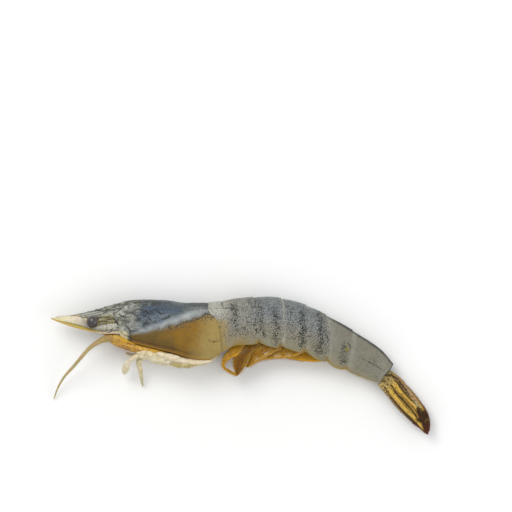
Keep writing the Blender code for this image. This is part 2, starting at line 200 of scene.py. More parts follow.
def hairs(roots, ways, lengths, thickness, droop, seed, fields):
    # Tapered bristles of three sides: each bends from its root's way by the droop, all in one array
    rng = np.random.default_rng(seed)
    count, steps = len(roots), 5
    ways = unit(ways + rng.normal(scale=0.12, size=ways.shape))
    lengths = (np.broadcast_to(lengths, count) * rng.uniform(0.75, 1.1, count))[:, None, None]
    s = np.linspace(0.0, 1.0, steps)[None, :, None]
    run = roots[:, None] + ways[:, None] * (s * lengths) + np.asarray(droop) * s**2 * lengths
    side = unit(np.cross(ways, (0.31, 0.27, 0.91)))     # any direction that no bristle follows
    other = np.cross(ways, side)
    t = turns(3)[:, None]
    ring = side[:, None, None] * np.cos(t) + other[:, None, None] * np.sin(t)
    verts = (run[:, :, None] + ring * thickness * (1.0 - 0.85 * s)[..., None] / 2).reshape(-1, 3)
    grid = np.arange(count * steps * 3).reshape(count, steps, 3)
    tris = np.vstack([grid[:, 0, ::-1], grid[:, -1]])
    values = {name: np.full(len(verts), float(value)) for name, value in fields.items()}
    return {"verts": verts, "quads": quadsOf(grid), "tris": tris, "fields": values}


def bladeGrid(places, half, thickness, camber, sides):
    # A thin arched blade along a path: u runs from edge to edge (-1 to 1) and s from root to tip
    grid = tubeGrid(places[:, :3], half, thickness, sides, camber * half / places[:, 3].max())
    return grid, np.cos(turns(sides))[None, :], np.linspace(0.0, 1.0, len(places))[:, None]


def edgeHairs(grid, places, at, lean, lengths, seed, fields):
    # Bristles on both edges of a blade, square to its path and leaning along it, none where it lies low
    forward = unit(np.gradient(places[:, :3], axis=0))[at]
    lengths = np.broadcast_to(lengths, len(at))
    made = []
    for edge in (0, grid.shape[1] // 2):
        roots = grid[at, edge]
        ways = unit(roots - places[at, :3]) + lean * forward
        free = roots[:, 2] > 0.5
        made.append(hairs(roots[free], ways[free], lengths[free], 0.06, (0, 0, 0), seed + edge, fields))
    return made


def addObject(name, data):
    made = bpy.data.objects.new(name, data)
    bpy.context.scene.collection.objects.link(made)
    return made


def build(node, shapes, material):
    # One mesh of all the shapes, with their fields as attributes, which rides on the body and stands for
    # its node
    first, *rest = node.split("_")
    name = first + "".join(part.capitalize() for part in rest) + "Looks"
    start, faces = 0, []
    for shape in shapes:
        faces += (shape["quads"] + start).tolist() + (shape["tris"] + start).tolist()
        start += len(shape["verts"])
    places = (np.vstack([shape["verts"] for shape in shapes]) + drawing["shift"]) * drawing["mm"]
    mesh = bpy.data.meshes.new(name)
    mesh.from_pydata(places.tolist(), [], faces)
    mesh.shade_smooth()
    for field in sorted({key for shape in shapes for key in shape["fields"]}):
        values = [shape["fields"].get(field, np.zeros(len(shape["verts"]))) for shape in shapes]
        attribute = mesh.attributes.new(field, "FLOAT", "POINT")
        attribute.data.foreach_set("value", np.clip(np.concatenate(values), 0.0, 1.0).astype(np.float32))
    mesh.materials.append(material)
    piece = addObject(name, mesh)
    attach(piece, "root")
    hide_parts(node)


# Materials

def colour(hexValue):
    # An sRGB hex colour made linear
    parts = [int(hexValue[k:k + 2], 16) / 255 for k in (1, 3, 5)]
    return (*[c / 12.92 if c <= 0.04045 else ((c + 0.055) / 1.055) ** 2.4 for c in parts], 1.0)


def perMetre(millimetres):
    # A texture scale whose pattern repeats in about that many millimetres
    return 1000.0 / millimetres


def addNode(tree, kind, settings=None, **sockets):
    # One node with its settings; each socket gets a number, a colour, or a link from another node's socket,
    # which is its first where the node itself is given
    node = tree.nodes.new("ShaderNode" + kind)
    for key, value in (settings or {}).items():
        setattr(node, key, value)
    for key, value in sockets.items():
        socket = node.inputs[int(key[1:]) if key[1:].isdigit() else key.replace("_", " ")]
        if isinstance(value, bpy.types.Node):
            value = value.outputs[0]
        if isinstance(value, bpy.types.NodeSocket):
            tree.links.new(value, socket)
        else:
            socket.default_value = value
    return node


inColour = {"data_type": "RGBA"}
multiplyAdd = {"operation": "MULTIPLY_ADD"}
# What a crust has unless its own dictionary says otherwise, with sizes in mm
crust = {
    "edgeSize": 0.9, "edgeSpread": 0.7,     # how loosely the layers' edges wander
    "speckSize": 0.6, "speckFrom": 0.86, "speckTo": 1.10, "speckStrength": 0.9, "speckGain": 0.6,
    "veinSize": 4.0, "veinFrom": 0.82, "veinWidth": 0.16, "veinStrength": 0.85, "veinGain": 0.45,
    "veinTurn": 0.25, "veinSquash": 0.45,   # the veins' turn on the table, and how far they are drawn out
    "grainSize": 0.5, "grainDepth": 0.2, "bump": 0.25, "dampSpread": 0.08,
    "ior": 1.5, "shine": 0.25, "glowReach": 1.5, "glowTint": (1.0, 0.7, 0.4), "filmRoughness": 0.18,
}


def wetChitin(name, look):
    # Thin wet crust over flesh: a mottled base, coloured layers where the piece's fields say, small specks of
    # pigment, dark veins, and a fine grain under a film of water
    look = {**crust, **look}
    made = bpy.data.materials.new(name)
    made.use_nodes = True
    tree = made.node_tree
    shader = tree.nodes["Principled BSDF"]
    place = addNode(tree, "TexCoord").outputs["Object"]
    mottle = addNode(tree, "TexNoise", Vector=place, Scale=perMetre(look["mottleSize"]), Detail=4.0,
                     Roughness=0.6)
    spread = addNode(tree, "MapRange", Value=mottle, From_Min=0.35, From_Max=0.65)
    base = addNode(tree, "Mix", inColour, i0=spread, i6=colour(look["base"]), i7=colour(look["mottle"]))
    edge = addNode(tree, "TexNoise", Vector=place, Scale=perMetre(look["edgeSize"]), Detail=3.0)
    wander = addNode(tree, "Math", multiplyAdd, i0=edge, i1=look["edgeSpread"], i2=-look["edgeSpread"] / 2)
    coats = []
    for field, hexValue, strength in look["layers"]:
        mask = addNode(tree, "Attribute", {"attribute_name": field}).outputs["Fac"]
        loose = addNode(tree, "Math", multiplyAdd, i0=wander, i1=mask, i2=mask)
        coats.append((hexValue, addNode(tree, "Math", {"operation": "MULTIPLY", "use_clamp": True}, i0=loose,
                                        i1=strength)))
    # Specks: where a fine noise tops a threshold that falls as the piece's speck field rises
    fine = addNode(tree, "TexNoise", Vector=place, Scale=perMetre(look["speckSize"]), Detail=2.0,
                   Roughness=0.5)
    even = addNode(tree, "MapRange", Value=fine, From_Min=0.3, From_Max=0.7)
    dense = addNode(tree, "Attribute", {"attribute_name": "speck"}).outputs["Fac"]
    over = addNode(tree, "Math", multiplyAdd, i0=dense, i1=look["speckGain"], i2=even)
    dots = addNode(tree, "MapRange", Value=over, From_Min=look["speckFrom"], From_Max=look["speckTo"],
                   To_Max=look["speckStrength"])
    # Veins: thin dark lines along the ridges of a noise drawn out along the body
    drawn = addNode(tree, "Mapping", Vector=place, Rotation=(0.0, 0.0, look["veinTurn"]),
                    Scale=(look["veinSquash"], 1.0, 1.0))
    ridges = addNode(tree, "TexNoise", {"noise_type": "RIDGED_MULTIFRACTAL", "normalize": True}, Vector=drawn,
                     Scale=perMetre(look["veinSize"]), Detail=4.0, Roughness=0.6, Distortion=1.0)
    wrinkled = addNode(tree, "Attribute", {"attribute_name": "vein"}).outputs["Fac"]
    raised = addNode(tree, "Math", multiplyAdd, i0=wrinkled, i1=look["veinGain"], i2=ridges)
    veins = addNode(tree, "MapRange", Value=raised, From_Min=look["veinFrom"],
                    From_Max=look["veinFrom"] + look["veinWidth"], To_Max=look["veinStrength"])
    tint = base.outputs[2]
    for hexValue, amount in (*coats, (look["speck"], dots), (look["vein"], veins)):
        tint = addNode(tree, "Mix", inColour, i0=amount, i6=tint, i7=colour(hexValue)).outputs[2]
    grain = addNode(tree, "TexNoise", Vector=place, Scale=perMetre(look["grainSize"]), Detail=2.0)
    low = addNode(tree, "Math", multiplyAdd, i0=veins, i1=-0.8, i2=grain)
    bump = addNode(tree, "Bump", Strength=look["bump"], Distance=look["grainDepth"] / 1000, Height=low)
    dry, wet = look["roughness"] + look["dampSpread"], look["roughness"] - look["dampSpread"]
    damp = addNode(tree, "MapRange", Value=mottle, From_Min=0.3, From_Max=0.7, To_Min=wet, To_Max=dry)
    for socket, source in (("Base Color", tint), ("Normal", bump.outputs[0]), ("Roughness", damp.outputs[0])):
        tree.links.new(source, shader.inputs[socket])
    for socket, value in (("IOR", look["ior"]), ("Specular IOR Level", look["shine"]),
                          ("Subsurface Weight", look["glow"]), ("Subsurface Radius", look["glowTint"]),
                          ("Subsurface Scale", look["glowReach"] / 1000), ("Coat Weight", look["film"]),
                          ("Coat Roughness", look["filmRoughness"])):
        shader.inputs[socket].default_value = value
    return made


# Carapace crust: grey-blue over the gut, a milky seam, and golden liver showing through below it
carapaceLook = {
    "base": "#5f615a", "mottle": "#4d5252", "mottleSize": 3.0, "roughness": 0.5, "speckSize": 0.42,
    "speck": "#282b26", "vein": "#22241e", "veinSize": 2.6, "veinFrom": 0.8, "glow": 0.06, "film": 0.06,
    "edgeSize": 1.6,
    "layers": [("blue", "#4a5c70", 0.95), ("grey", "#9c9c8e", 1.0), ("milk", "#babbae", 0.9),
               ("gold", "#825e0c", 1.0), ("olive", "#5c4a1c", 0.9), ("beige", "#98834a", 0.95),
               ("pale", "#a6aaa8", 0.95), ("crest", "#55533f", 0.9), ("cream", "#cdc39c", 1.0),
               ("flesh", "#c0b28c", 1.0), ("rim", "#a87a28", 0.9), ("rust", "#5a3410", 0.95),
               ("dark", "#1f201b", 1.0)],
}
# Abdomen crust: clear grey, speckled in bands, golden where the side plates thin out below
shellLook = {
    "base": "#929085", "mottle": "#827f75", "mottleSize": 3.5, "roughness": 0.5, "speckSize": 0.37,
    "speck": "#171a16", "speckStrength": 1.0, "vein": "#44483d", "veinSize": 3.5, "veinFrom": 0.95,
    "glow": 0.1, "film": 0.06,
    "layers": [("blue", "#6f7a80", 0.7), ("olive", "#827b5e", 0.8), ("mauve", "#716e5f", 0.8),
               ("gold", "#8a6e24", 0.9), ("beige", "#98834a", 0.95), ("pale", "#b3b1a4", 0.95),
               ("flesh", "#b9ab80", 1.0), ("rim", "#9c8a3e", 0.9), ("rust", "#8a5a22", 0.9),
               ("dark", "#26251c", 1.0), ("lime", "#8f8726", 1.0)],
}
print("looks set out")


# Abdomen: six overlapping crust rings round a bent middle line

abdomen = {
    "start": (-6.6, 17.4), "length": 70.0, "headingFront": 2.0, "headingRear": -33.0,
    "bendFrom": 9.0, "bendTo": 50.0, "steps": 280,
    "edges": ((-5.2, -1.2), (11.2, 14.8), (21.0, 24.8), (30.2, 36.2), (37.9, 47.1), (48.9, 55.8),
              (70.0, 68.5)),          # stations of each ring's edge on the back and on the belly
    "flankPower": 0.82, "bellyPower": 0.62, "grooveReach": 0.95, "grooveSlope": 0.65,
    "rearSize": 1.008, "endLobe": 0.93, "bow": 0.5, "corner": 1.3, "around": 168, "along": 96,
    "frontSize": 0.972, "tuck": 2.4, "flat": 0.0, "hang": 0.0, "plainSpeck": 0.54,
    # Ring 1 starts behind the carapace's rear edge, runs far under it and hangs lower at its front corner
    1: {"frontEdge": (-0.2, -0.7), "frontSize": 0.955, "tuck": 7.0, "flat": 0.035, "hang": 0.44},
    5: {"plainSpeck": 0.16},
    6: {"plainSpeck": 0.16, "corner": 0.0},
}
abdomenRails = {
    "station": (0, 11, 21, 30, 38, 46, 52, 58, 64, 70),
    "back": (9.2, 9.6, 10.1, 9.7, 8.9, 8.0, 7.8, 7.7, 7.1, 4.7),
    "belly": (9.4, 9.4, 9.8, 9.5, 9.2, 8.8, 7.6, 6.8, 5.8, 4.8),
    "halfWidth": (8.6, 8.6, 8.5, 8.2, 7.7, 7.1, 6.5, 5.9, 5.3, 4.4),
    "groove": (5.0, 5.0, 5.0, 5.0, 4.6, 4.0, 2.4, 1.2, 0.8, 0.5),
}
# Rear lip of a ring, which turns in: how far past its edge in mm, and its size; then the closed end of ring 6
lip = ((-0.25, 1.0), (-0.05, 0.997), (0.0, 0.988), (-0.05, 0.978), (-0.4, 0.965), (-1.1, 0.955), (-1.9, 0.94),
       (-2.9, 0.91))
rearEnd = ((-0.2, 0.985), (-0.12, 0.94), (-0.06, 0.86), (-0.02, 0.74), (0.0, 0.58), (0.0, 0.38), (0.0, 0.15))
# Speckled bands: ring, share along it, half width, strength, and between which shares of its height
bands = (
    (1, 0.34, 0.15, 0.95, 0.08, 0.72), (1, 0.93, 0.10, 0.80, 0.00, 0.90), (2, 0.14, 0.16, 0.90, 0.00, 0.90),
    (2, 0.72, 0.18, 0.90, 0.15, 0.95), (3, 0.30, 0.25, 0.75, 0.00, 0.75), (3, 0.80, 0.16, 1.00, 0.10, 0.97),
    (4, 0.62, 0.26, 1.00, 0.00, 0.97), (5, 0.72, 0.16, 0.75, 0.38, 0.90), (6, 0.62, 0.20, 0.40, 0.25, 0.75),
)
# Small dark marks on the abdomen: ring, points in the table plane, and half width
cracks = (
    (1, ((-7.4, 26.0), (-7.7, 24.6), (-7.0, 22.8)), 0.28), (1, ((-7.2, 23.0), (-4.4, 22.9)), 0.2),
    (1, ((-16.4, 23.4), (-12.8, 23.0)), 0.2), (2, ((13.8, 17.6), (15.0, 15.0), (15.6, 13.4)), 0.26),
    (4, ((33.6, 12.6), (34.8, 10.6)), 0.3), (5, ((42.4, 9.4), (43.2, 8.0), (43.8, 6.6)), 0.24),
    (5, ((40.4, 7.6), (41.6, 5.4), (43.4, 5.0)), 0.3), (5, ((41.2, 7.6), (42.2, 6.4), (43.6, 6.2)), 0.2),
    (6, ((48.6, 2.6), (52.6, 0.6), (56.4, -1.8)), 0.16),
)
keel = ((46.5, 4.0), (52.6, 0.8), (57.4, -2.6))     # a shallow furrow along the flank of ring 6


def axisPlace(station):
    # Place and heading on the middle line: straight, an even bend, then straight; it runs on past both ends
    steps = np.linspace(0.0, abdomen["length"], abdomen["steps"] + 1)
    bend = np.clip((steps - abdomen["bendFrom"]) / (abdomen["bendTo"] - abdomen["bendFrom"]), 0.0, 1.0)
    heading = np.radians(abdomen["headingFront"] + (abdomen["headingRear"] - abdomen["headingFront"]) * bend)
    middle = (heading[1:] + heading[:-1]) / 2
    turn = np.interp(station, steps, heading)
    past = np.minimum(station, 0.0) + np.maximum(np.asarray(station) - abdomen["length"], 0.0)
    x, y = (np.interp(station, steps, start + np.concatenate([[0.0], np.cumsum(wave(middle) * steps[1])]))
            + past * wave(turn) for start, wave in zip(abdomen["start"], (np.cos, np.sin)))
    return x, y, turn


def crossSection(back, belly, halfWidth, groove, t):
    # Height is a cosine arch on the back and a flatter power of it on the belly, less a groove along the
    # belly's middle; the side is a power of the sine
    side = halfWidth * np.sign(np.sin(t)) * np.abs(np.sin(t)) ** abdomen["flankPower"]
    sunk = ramp(abdomen["grooveReach"] - np.abs(t - math.pi), 0.0, abdomen["grooveSlope"])
    low = belly * np.abs(np.cos(t)) ** abdomen["bellyPower"] - groove * sunk
    low = low * belly / np.where(np.cos(t) < 0, low, -1e9).max(axis=-1, keepdims=True)
    return np.where(np.cos(t) >= 0, back * np.abs(np.cos(t)), -low), side


def aroundBody(count):
    # Angles from the middle of the back, closer together where the section turns fast
    u = np.arange(count) / count
    return (2 * math.pi * u - 0.12 * np.sin(4 * math.pi * u))[None, :]


def abdomenGrid(front, rear, share, size, lobe, top, corner, seed):
    # Rings of the abdomen on edges that slant evenly from the front pair of stations to the rear pair, bow
    # a little at the flank and round off at the lower rear corner
    share, size, lobe, top = (part[:, None] for part in (share, size, lobe, top))
    edge = np.array(front) + (np.array(rear) - np.array(front)) * share
    mean = edge.mean(axis=1, keepdims=True)
    back, belly, halfWidth, groove = (
        smoothRail(mean, abdomenRails["station"], abdomenRails[key])
        for key in ("back", "belly", "halfWidth", "groove"))
    t = aroundBody(abdomen["around"])
    height, side = crossSection(back, belly * lobe, halfWidth, groove, t)
    height = height * size * np.where(height >= 0, top, 1.0)
    down = 0.5 - 0.5 * np.where(height >= 0, height / back, height / belly / lobe)
    moved = np.clip(share, 0.0, 1.0) ** 4 * (
        abdomen["bow"] * np.sin(math.pi * down) - corner * ramp(down, 0.7, 1.0) ** 2
        + 0.18 * np.sin(9.0 * down + seed) * np.sin(math.pi * down))
    x, y, turn = axisPlace(edge[:, :1] + (edge[:, 1:] - edge[:, :1]) * down + moved)
    z = halfWidth - drawing["restFlat"] + side * size
    return onTable(np.stack([x - np.sin(turn) * height, y + np.cos(turn) * height, z], axis=2)), down, t


def makeRing(number, material):
    ring = {**abdomen, "frontEdge": abdomen["edges"][number - 1], **abdomen.get(number, {})}
    front, rear = ring["frontEdge"], abdomen["edges"][number]
    length = sum(rear) / 2 - sum(front) / 2
    # From under the ring in front, over the outside, round the rear lip and back along the inner wall
    under = np.linspace(1.0, 0.0, 10)[:-1]
    outer = np.linspace(0.0, 1.0, ring["along"])
    past, lipSize = np.array(lip).T
    share = np.concatenate([-under * ring["tuck"] / length, outer[:-4], 1.0 + past / length])
    swell = ring["frontSize"] + (ring["rearSize"] - ring["frontSize"]) * np.sin(outer * math.pi / 2)
    size = np.concatenate([ring["frontSize"] - 0.025 * under, swell[:-4], ring["rearSize"] * lipSize])
    lobe = 1.0 - (1.0 - ring["endLobe"]) * np.abs(2 * np.clip(share, 0.0, 1.0) - 1) ** 3
    lobe += ring["hang"] * ramp(share, 0.38, -0.14)
    top = 1.0 - ring["flat"] * ramp(share, 0.35, -0.1)
    if number == 6:
        past, endSize = np.array(rearEnd).T
        share[-len(past):] = 1.0 + past / length
        size[-len(past):] = ring["rearSize"] * endSize
    points, down, t = abdomenGrid(front, rear, share, size, lobe, top, ring["corner"], number)
    s = share[:, None] + 0 * down
    facing = np.abs(t - math.pi) + 0 * s
    x, y = points[..., 0], points[..., 1]
    wander = 0.05 * waves(points, 3.0, number + 40) + 0.04 * waves(points, 7.0, number + 41)
    # Relief: a fine furrow across the front third, a raised rear rim, a ridge over the side plate, soft dents
    relief = -0.10 * hump(s + 0.3 * wander, 0.24, 0.03) + 0.05 * ramp(s, 0.24, 0.36)
    relief += 0.06 * hump(s, 0.96, 0.02) - 0.08 * hump(s, 0.915, 0.025)
    relief -= 0.12 * hump(down, 0.80 + 0.2 * wander, 0.03) * ramp(s, 0.1, 0.3)
    relief += 0.16 * waves(points, 7.0, number) * hump(facing, math.pi / 2, 1.2)
    relief += 0.045 * waves(points, 2.2, number + 20)
    if number == 6:
        relief += 0.35 * hump(down, 0.0, 0.05) * ramp(s, 0.1, 0.4) - 0.16 * lineMark(points, keel, 0.5)
    relief *= ramp(s, -0.05, 0.05) * ramp(s, 1.01, 0.99) * (1.0 - 0.6 * ramp(facing, 2.4, 3.0))
    points = relieve(points, relief)

    flank = ramp(facing, 0.55, 0.75)                    # 0 in the belly groove, 1 on the outside
    speck = ring["plainSpeck"] * ramp(down, 0.95, 0.74)
    for place, centre, width, strength, high, low in bands:
        if place == number:
            depth = down + wander
            shown = ramp(depth, high - 0.08, high + 0.08) * ramp(depth, low + 0.05, low - 0.10)
            speck = np.maximum(speck, 0.92 * strength * hump(s + wander, centre, 1.4 * width) * shown)
    # Besides the cracks: painted edge shade along the outline of the back from x = 28 mm, and over the upper
    # part of ring 6's rounded end
    dark = np.maximum(marked(points, [(line, width) for place, line, width in cracks if place == number]),
                      ramp(x, 28.0, 40.0) * ramp(down - 0.1 * wander, 0.085, 0.025))
    if number == 6:
        dark = np.maximum(dark, ramp(down, 0.85, 0.45) * ramp(s, 0.975, 0.992))
    beige = ramp(-5.6 - x + 8 * wander, -2.0, 2.5) * (number == 1)
    low = down + 0.5 * wander
    gold = (0.35 * ramp(low, 0.93, 1.0)
            + 0.9 * (hump(s, 1.0, 0.14) + hump(s, 0.0, 0.1)) * ramp(low, 0.84, 0.98)
            + 0.4 * ramp(low, 0.86, 1.0) * (number > 4)
            + 0.7 * ramp(low, 0.66, 0.98) * hump(x, -0.5, 5.0) * (number == 1))
    joint = (0.8 if number == 3 else 0.35) * hump(s, 0.0, 0.10) + 0.3 * hump(s, 1.0, 0.03)
    fields = {
        "speck": speck * flank * (1 - 0.3 * beige),
        "blue": 0.85 * ramp(low, 0.62, 0.30) * ramp(x, -1.0, 10.0) * ramp(x, 37.0, 28.0) * flank,
        "olive": np.maximum(ramp(low, 0.42, 0.85) * (0.75 if number > 1 else 0.5) * flank,
                            0.35 * ramp(x, 34.0, 42.0)),
        "mauve": 0.8 * ramp(x, 32.0, 40.0) * (1 - 0.4 * ramp(x, 50.0, 58.0)) * ramp(low, 0.95, 0.7),
        "beige": 0.9 * beige * ramp(low, 0.34, 0.56),
        "gold": gold * flank,
        "pale": np.maximum(joint * ramp(low, 0.95, 0.8) * (number > 1),
                           (0.8 + 3 * wander) * beige * ramp(low, 0.48, 0.28)) * flank,
        "flesh": ramp(facing, 0.60, 0.40),
        "rim": (0.3 if number < 5 else 0.8) * ramp(down, 0.965, 0.99) * flank,
        "rust": 0.7 * hump(s, 0.99, 0.015) * ramp(down, 0.85, 0.97) * flank,
        "dark": dark,
        "lime": 0.9 * hump(x, 42.1, 0.7) * hump(y, 6.7, 0.8) * (number == 5),
        "vein": 0.35 * ramp(low, 0.8, 0.5) * (1 if number in (1, 2, 6) else 0.6),
    }
    build(f"abdomen_{number}", [skin(points, fields)], material)


wetShell = wetChitin("wetGreyShell", shellLook)
for number in range(1, 7):
    makeRing(number, wetShell)
print("abdomen made: six rings")


# Carapace with its rostrum

carapace = {
    "around": 220, "along": 300, "groove": 1.6, "corner": 1.6, "bow": 0.9, "thinRear": 0.022,
    "lip": ((0.0, 0.985), (0.0, 0.965), (0.002, 0.95), (0.015, 0.935), (0.04, 0.92)),   # share inwards, size
    "teeth": ((-63.6, 1.5), (-60.2, 1.7), (-56.8, 1.9), (-53.2, 2.0), (-49.6, 2.0), (-45.9, 1.8),
              (-42.2, 1.5)),          # x and size
    "spines": ((-49.2, 15.6, 5.9, 1.6), (-41.6, 15.2, 8.0, 1.3)),     # x, y, side of the middle, reach
    "brow": ((-46.5, 20.4, 3.2, 2.0), (-52.0, 20.6, 2.8, 1.6), (-57.5, 20.3, 1.7, 1.4),
             (-65.0, 19.7, 0.6, 0.7)),
    "chest": ((-45.5, 9.2, 0.0, 1.0), (-40.0, 6.4, 0.0, 1.8), (-34.0, 4.2, 0.0, 2.2), (-26.0, 2.6, 0.0, 2.2),
              (-15.0, 2.6, 0.0, 1.4)),
    "chestBreadth": 4.6,
}
carapaceRails = {
    "x": (-7, -13, -20, -28, -36, -44, -46.5, -48.4, -49.7, -51, -53, -55, -57.5, -61, -69),
    "back": (25.4, 25.3, 25.1, 26.1, 26.4, 26.2, 25.7, 25.2, 24.8, 24.4, 23.8, 23.2, 22.6, 21.6, 20.0),
    "edge": (4.4, 1.8, 2.0, 4.4, 6.6, 8.8, 9.8, 11.0, 13.8, 16.9, 19.0, 19.7, 19.9, 19.5, 19.3),
    "halfWidth": (8.6, 8.8, 9.1, 9.2, 8.9, 7.7, 7.1, 6.4, 5.7, 4.8, 3.4, 2.3, 1.5, 1.0, 0.4),
}
# The seam between the grey-blue upper part and the golden lower part
seam = {
    "x": (-44, -41, -34.6, -28.6, -23.6, -17.6, -12.6, -8),
    "y": (12.0, 12.9, 14.2, 15.9, 17.6, 19.8, 20.9, 21.2),
}
furrows = (   # points in the table plane, half width, depth (a ridge is below zero)
    (((-36.5, 23.4), (-38.6, 20.6), (-41.2, 17.6), (-43.6, 15.4)), 0.8, 0.40),
    (((-40.0, 14.6), (-43.4, 13.4), (-46.8, 12.0)), 0.7, 0.35),
    (((-41.8, 18.2), (-45.6, 18.6), (-49.6, 18.4)), 0.6, 0.28),
    (((-37.4, 24.0), (-45.0, 23.2), (-52.0, 22.0), (-60.0, 20.9)), 0.5, 0.30),
    (((-38.0, 25.0), (-45.0, 24.2), (-52.0, 23.0), (-60.0, 21.4)), 0.5, -0.22),
    (((-39.0, 12.6), (-30.0, 14.4), (-22.0, 17.2), (-14.0, 20.6)), 0.9, 0.18),
    (((-41.0, 16.0), (-44.4, 16.6), (-47.4, 16.8)), 0.5, -0.25),
)
headMarks = (  # short dark wrinkles on the head
    ((-52.6, 20.6), (-50.2, 19.6), (-49.0, 18.0)), ((-51.0, 18.4), (-49.6, 17.0), (-50.2, 15.4)),
    ((-48.6, 19.4), (-47.0, 17.4), (-47.6, 15.8)), ((-49.4, 20.8), (-46.4, 19.4), (-44.6, 19.8)),
    ((-46.4, 16.2), (-44.8, 14.6), (-44.2, 12.6)), ((-45.4, 21.4), (-42.2, 20.2), (-40.4, 18.2)),
    ((-42.8, 22.8), (-39.4, 22.2), (-36.2, 20.4)), ((-41.0, 17.8), (-38.4, 17.0), (-35.6, 17.4)),
    ((-38.6, 20.2), (-36.2, 18.4), (-36.0, 16.6)), ((-34.6, 22.6), (-31.8, 20.8), (-30.2, 21.2)),
    ((-32.4, 18.6), (-29.6, 19.2), (-27.0, 20.6)), ((-46.2, 12.2), (-44.4, 11.2), (-43.8, 9.8)),
)
rearMark = ((-13.4, 10.2), (-11.0, 9.6), (-8.6, 10.0), (-6.4, 10.4))
crestMarks = (
    ((-63.0, 21.0), (-57.0, 22.0), (-51.6, 23.0)), ((-58.6, 21.4), (-52.0, 22.2), (-46.0, 23.6)),
    ((-55.0, 22.6), (-49.0, 23.8), (-43.0, 25.0)), ((-50.0, 22.6), (-44.0, 23.6), (-38.0, 24.4)),
    ((-46.0, 24.6), (-40.0, 25.4), (-32.0, 25.6)), ((-42.0, 23.8), (-34.0, 24.8), (-27.0, 25.2)),
)


def carapaceGrid(along, t):
    # Rings from the slanting rear edge (0) to the rostrum's tip (1), each from its rails of back and edge
    rearX = axisPlace(np.array(abdomen["edges"][0]))[0]
    tip = carapaceRails["x"][-1]
    along = along[:, None]
    mean = rearX.mean() + (tip - rearX.mean()) * along
    back, edge, halfWidth = (
        smoothRail(mean, carapaceRails["x"], carapaceRails[key]) for key in ("back", "edge", "halfWidth"))
    half = (back - edge) / 2
    height, side = crossSection(half, half, halfWidth, carapace["groove"] * np.minimum(1.0, half / 10.0), t)
    down = 0.5 - 0.5 * height / half
    start = (rearX[0] + (rearX[1] - rearX[0]) * down + carapace["bow"] * np.sin(math.pi * down)
             - carapace["corner"] * ramp(down, 0.84, 1.0) ** 2)
    fallen = np.maximum(0.0, (mean - drawing["fallFrom"]) / drawing["fallLength"])
    size = 1.0 - carapace["thinRear"] * ramp(along, 0.04, 0.0)
    x, y = start + (tip - start) * along, (back + edge) / 2 + height * size
    z = drawing["headMiddle"] - drawing["middleFall"] * fallen + side * size
    return onTable(np.stack([x, y, z], axis=2)), down


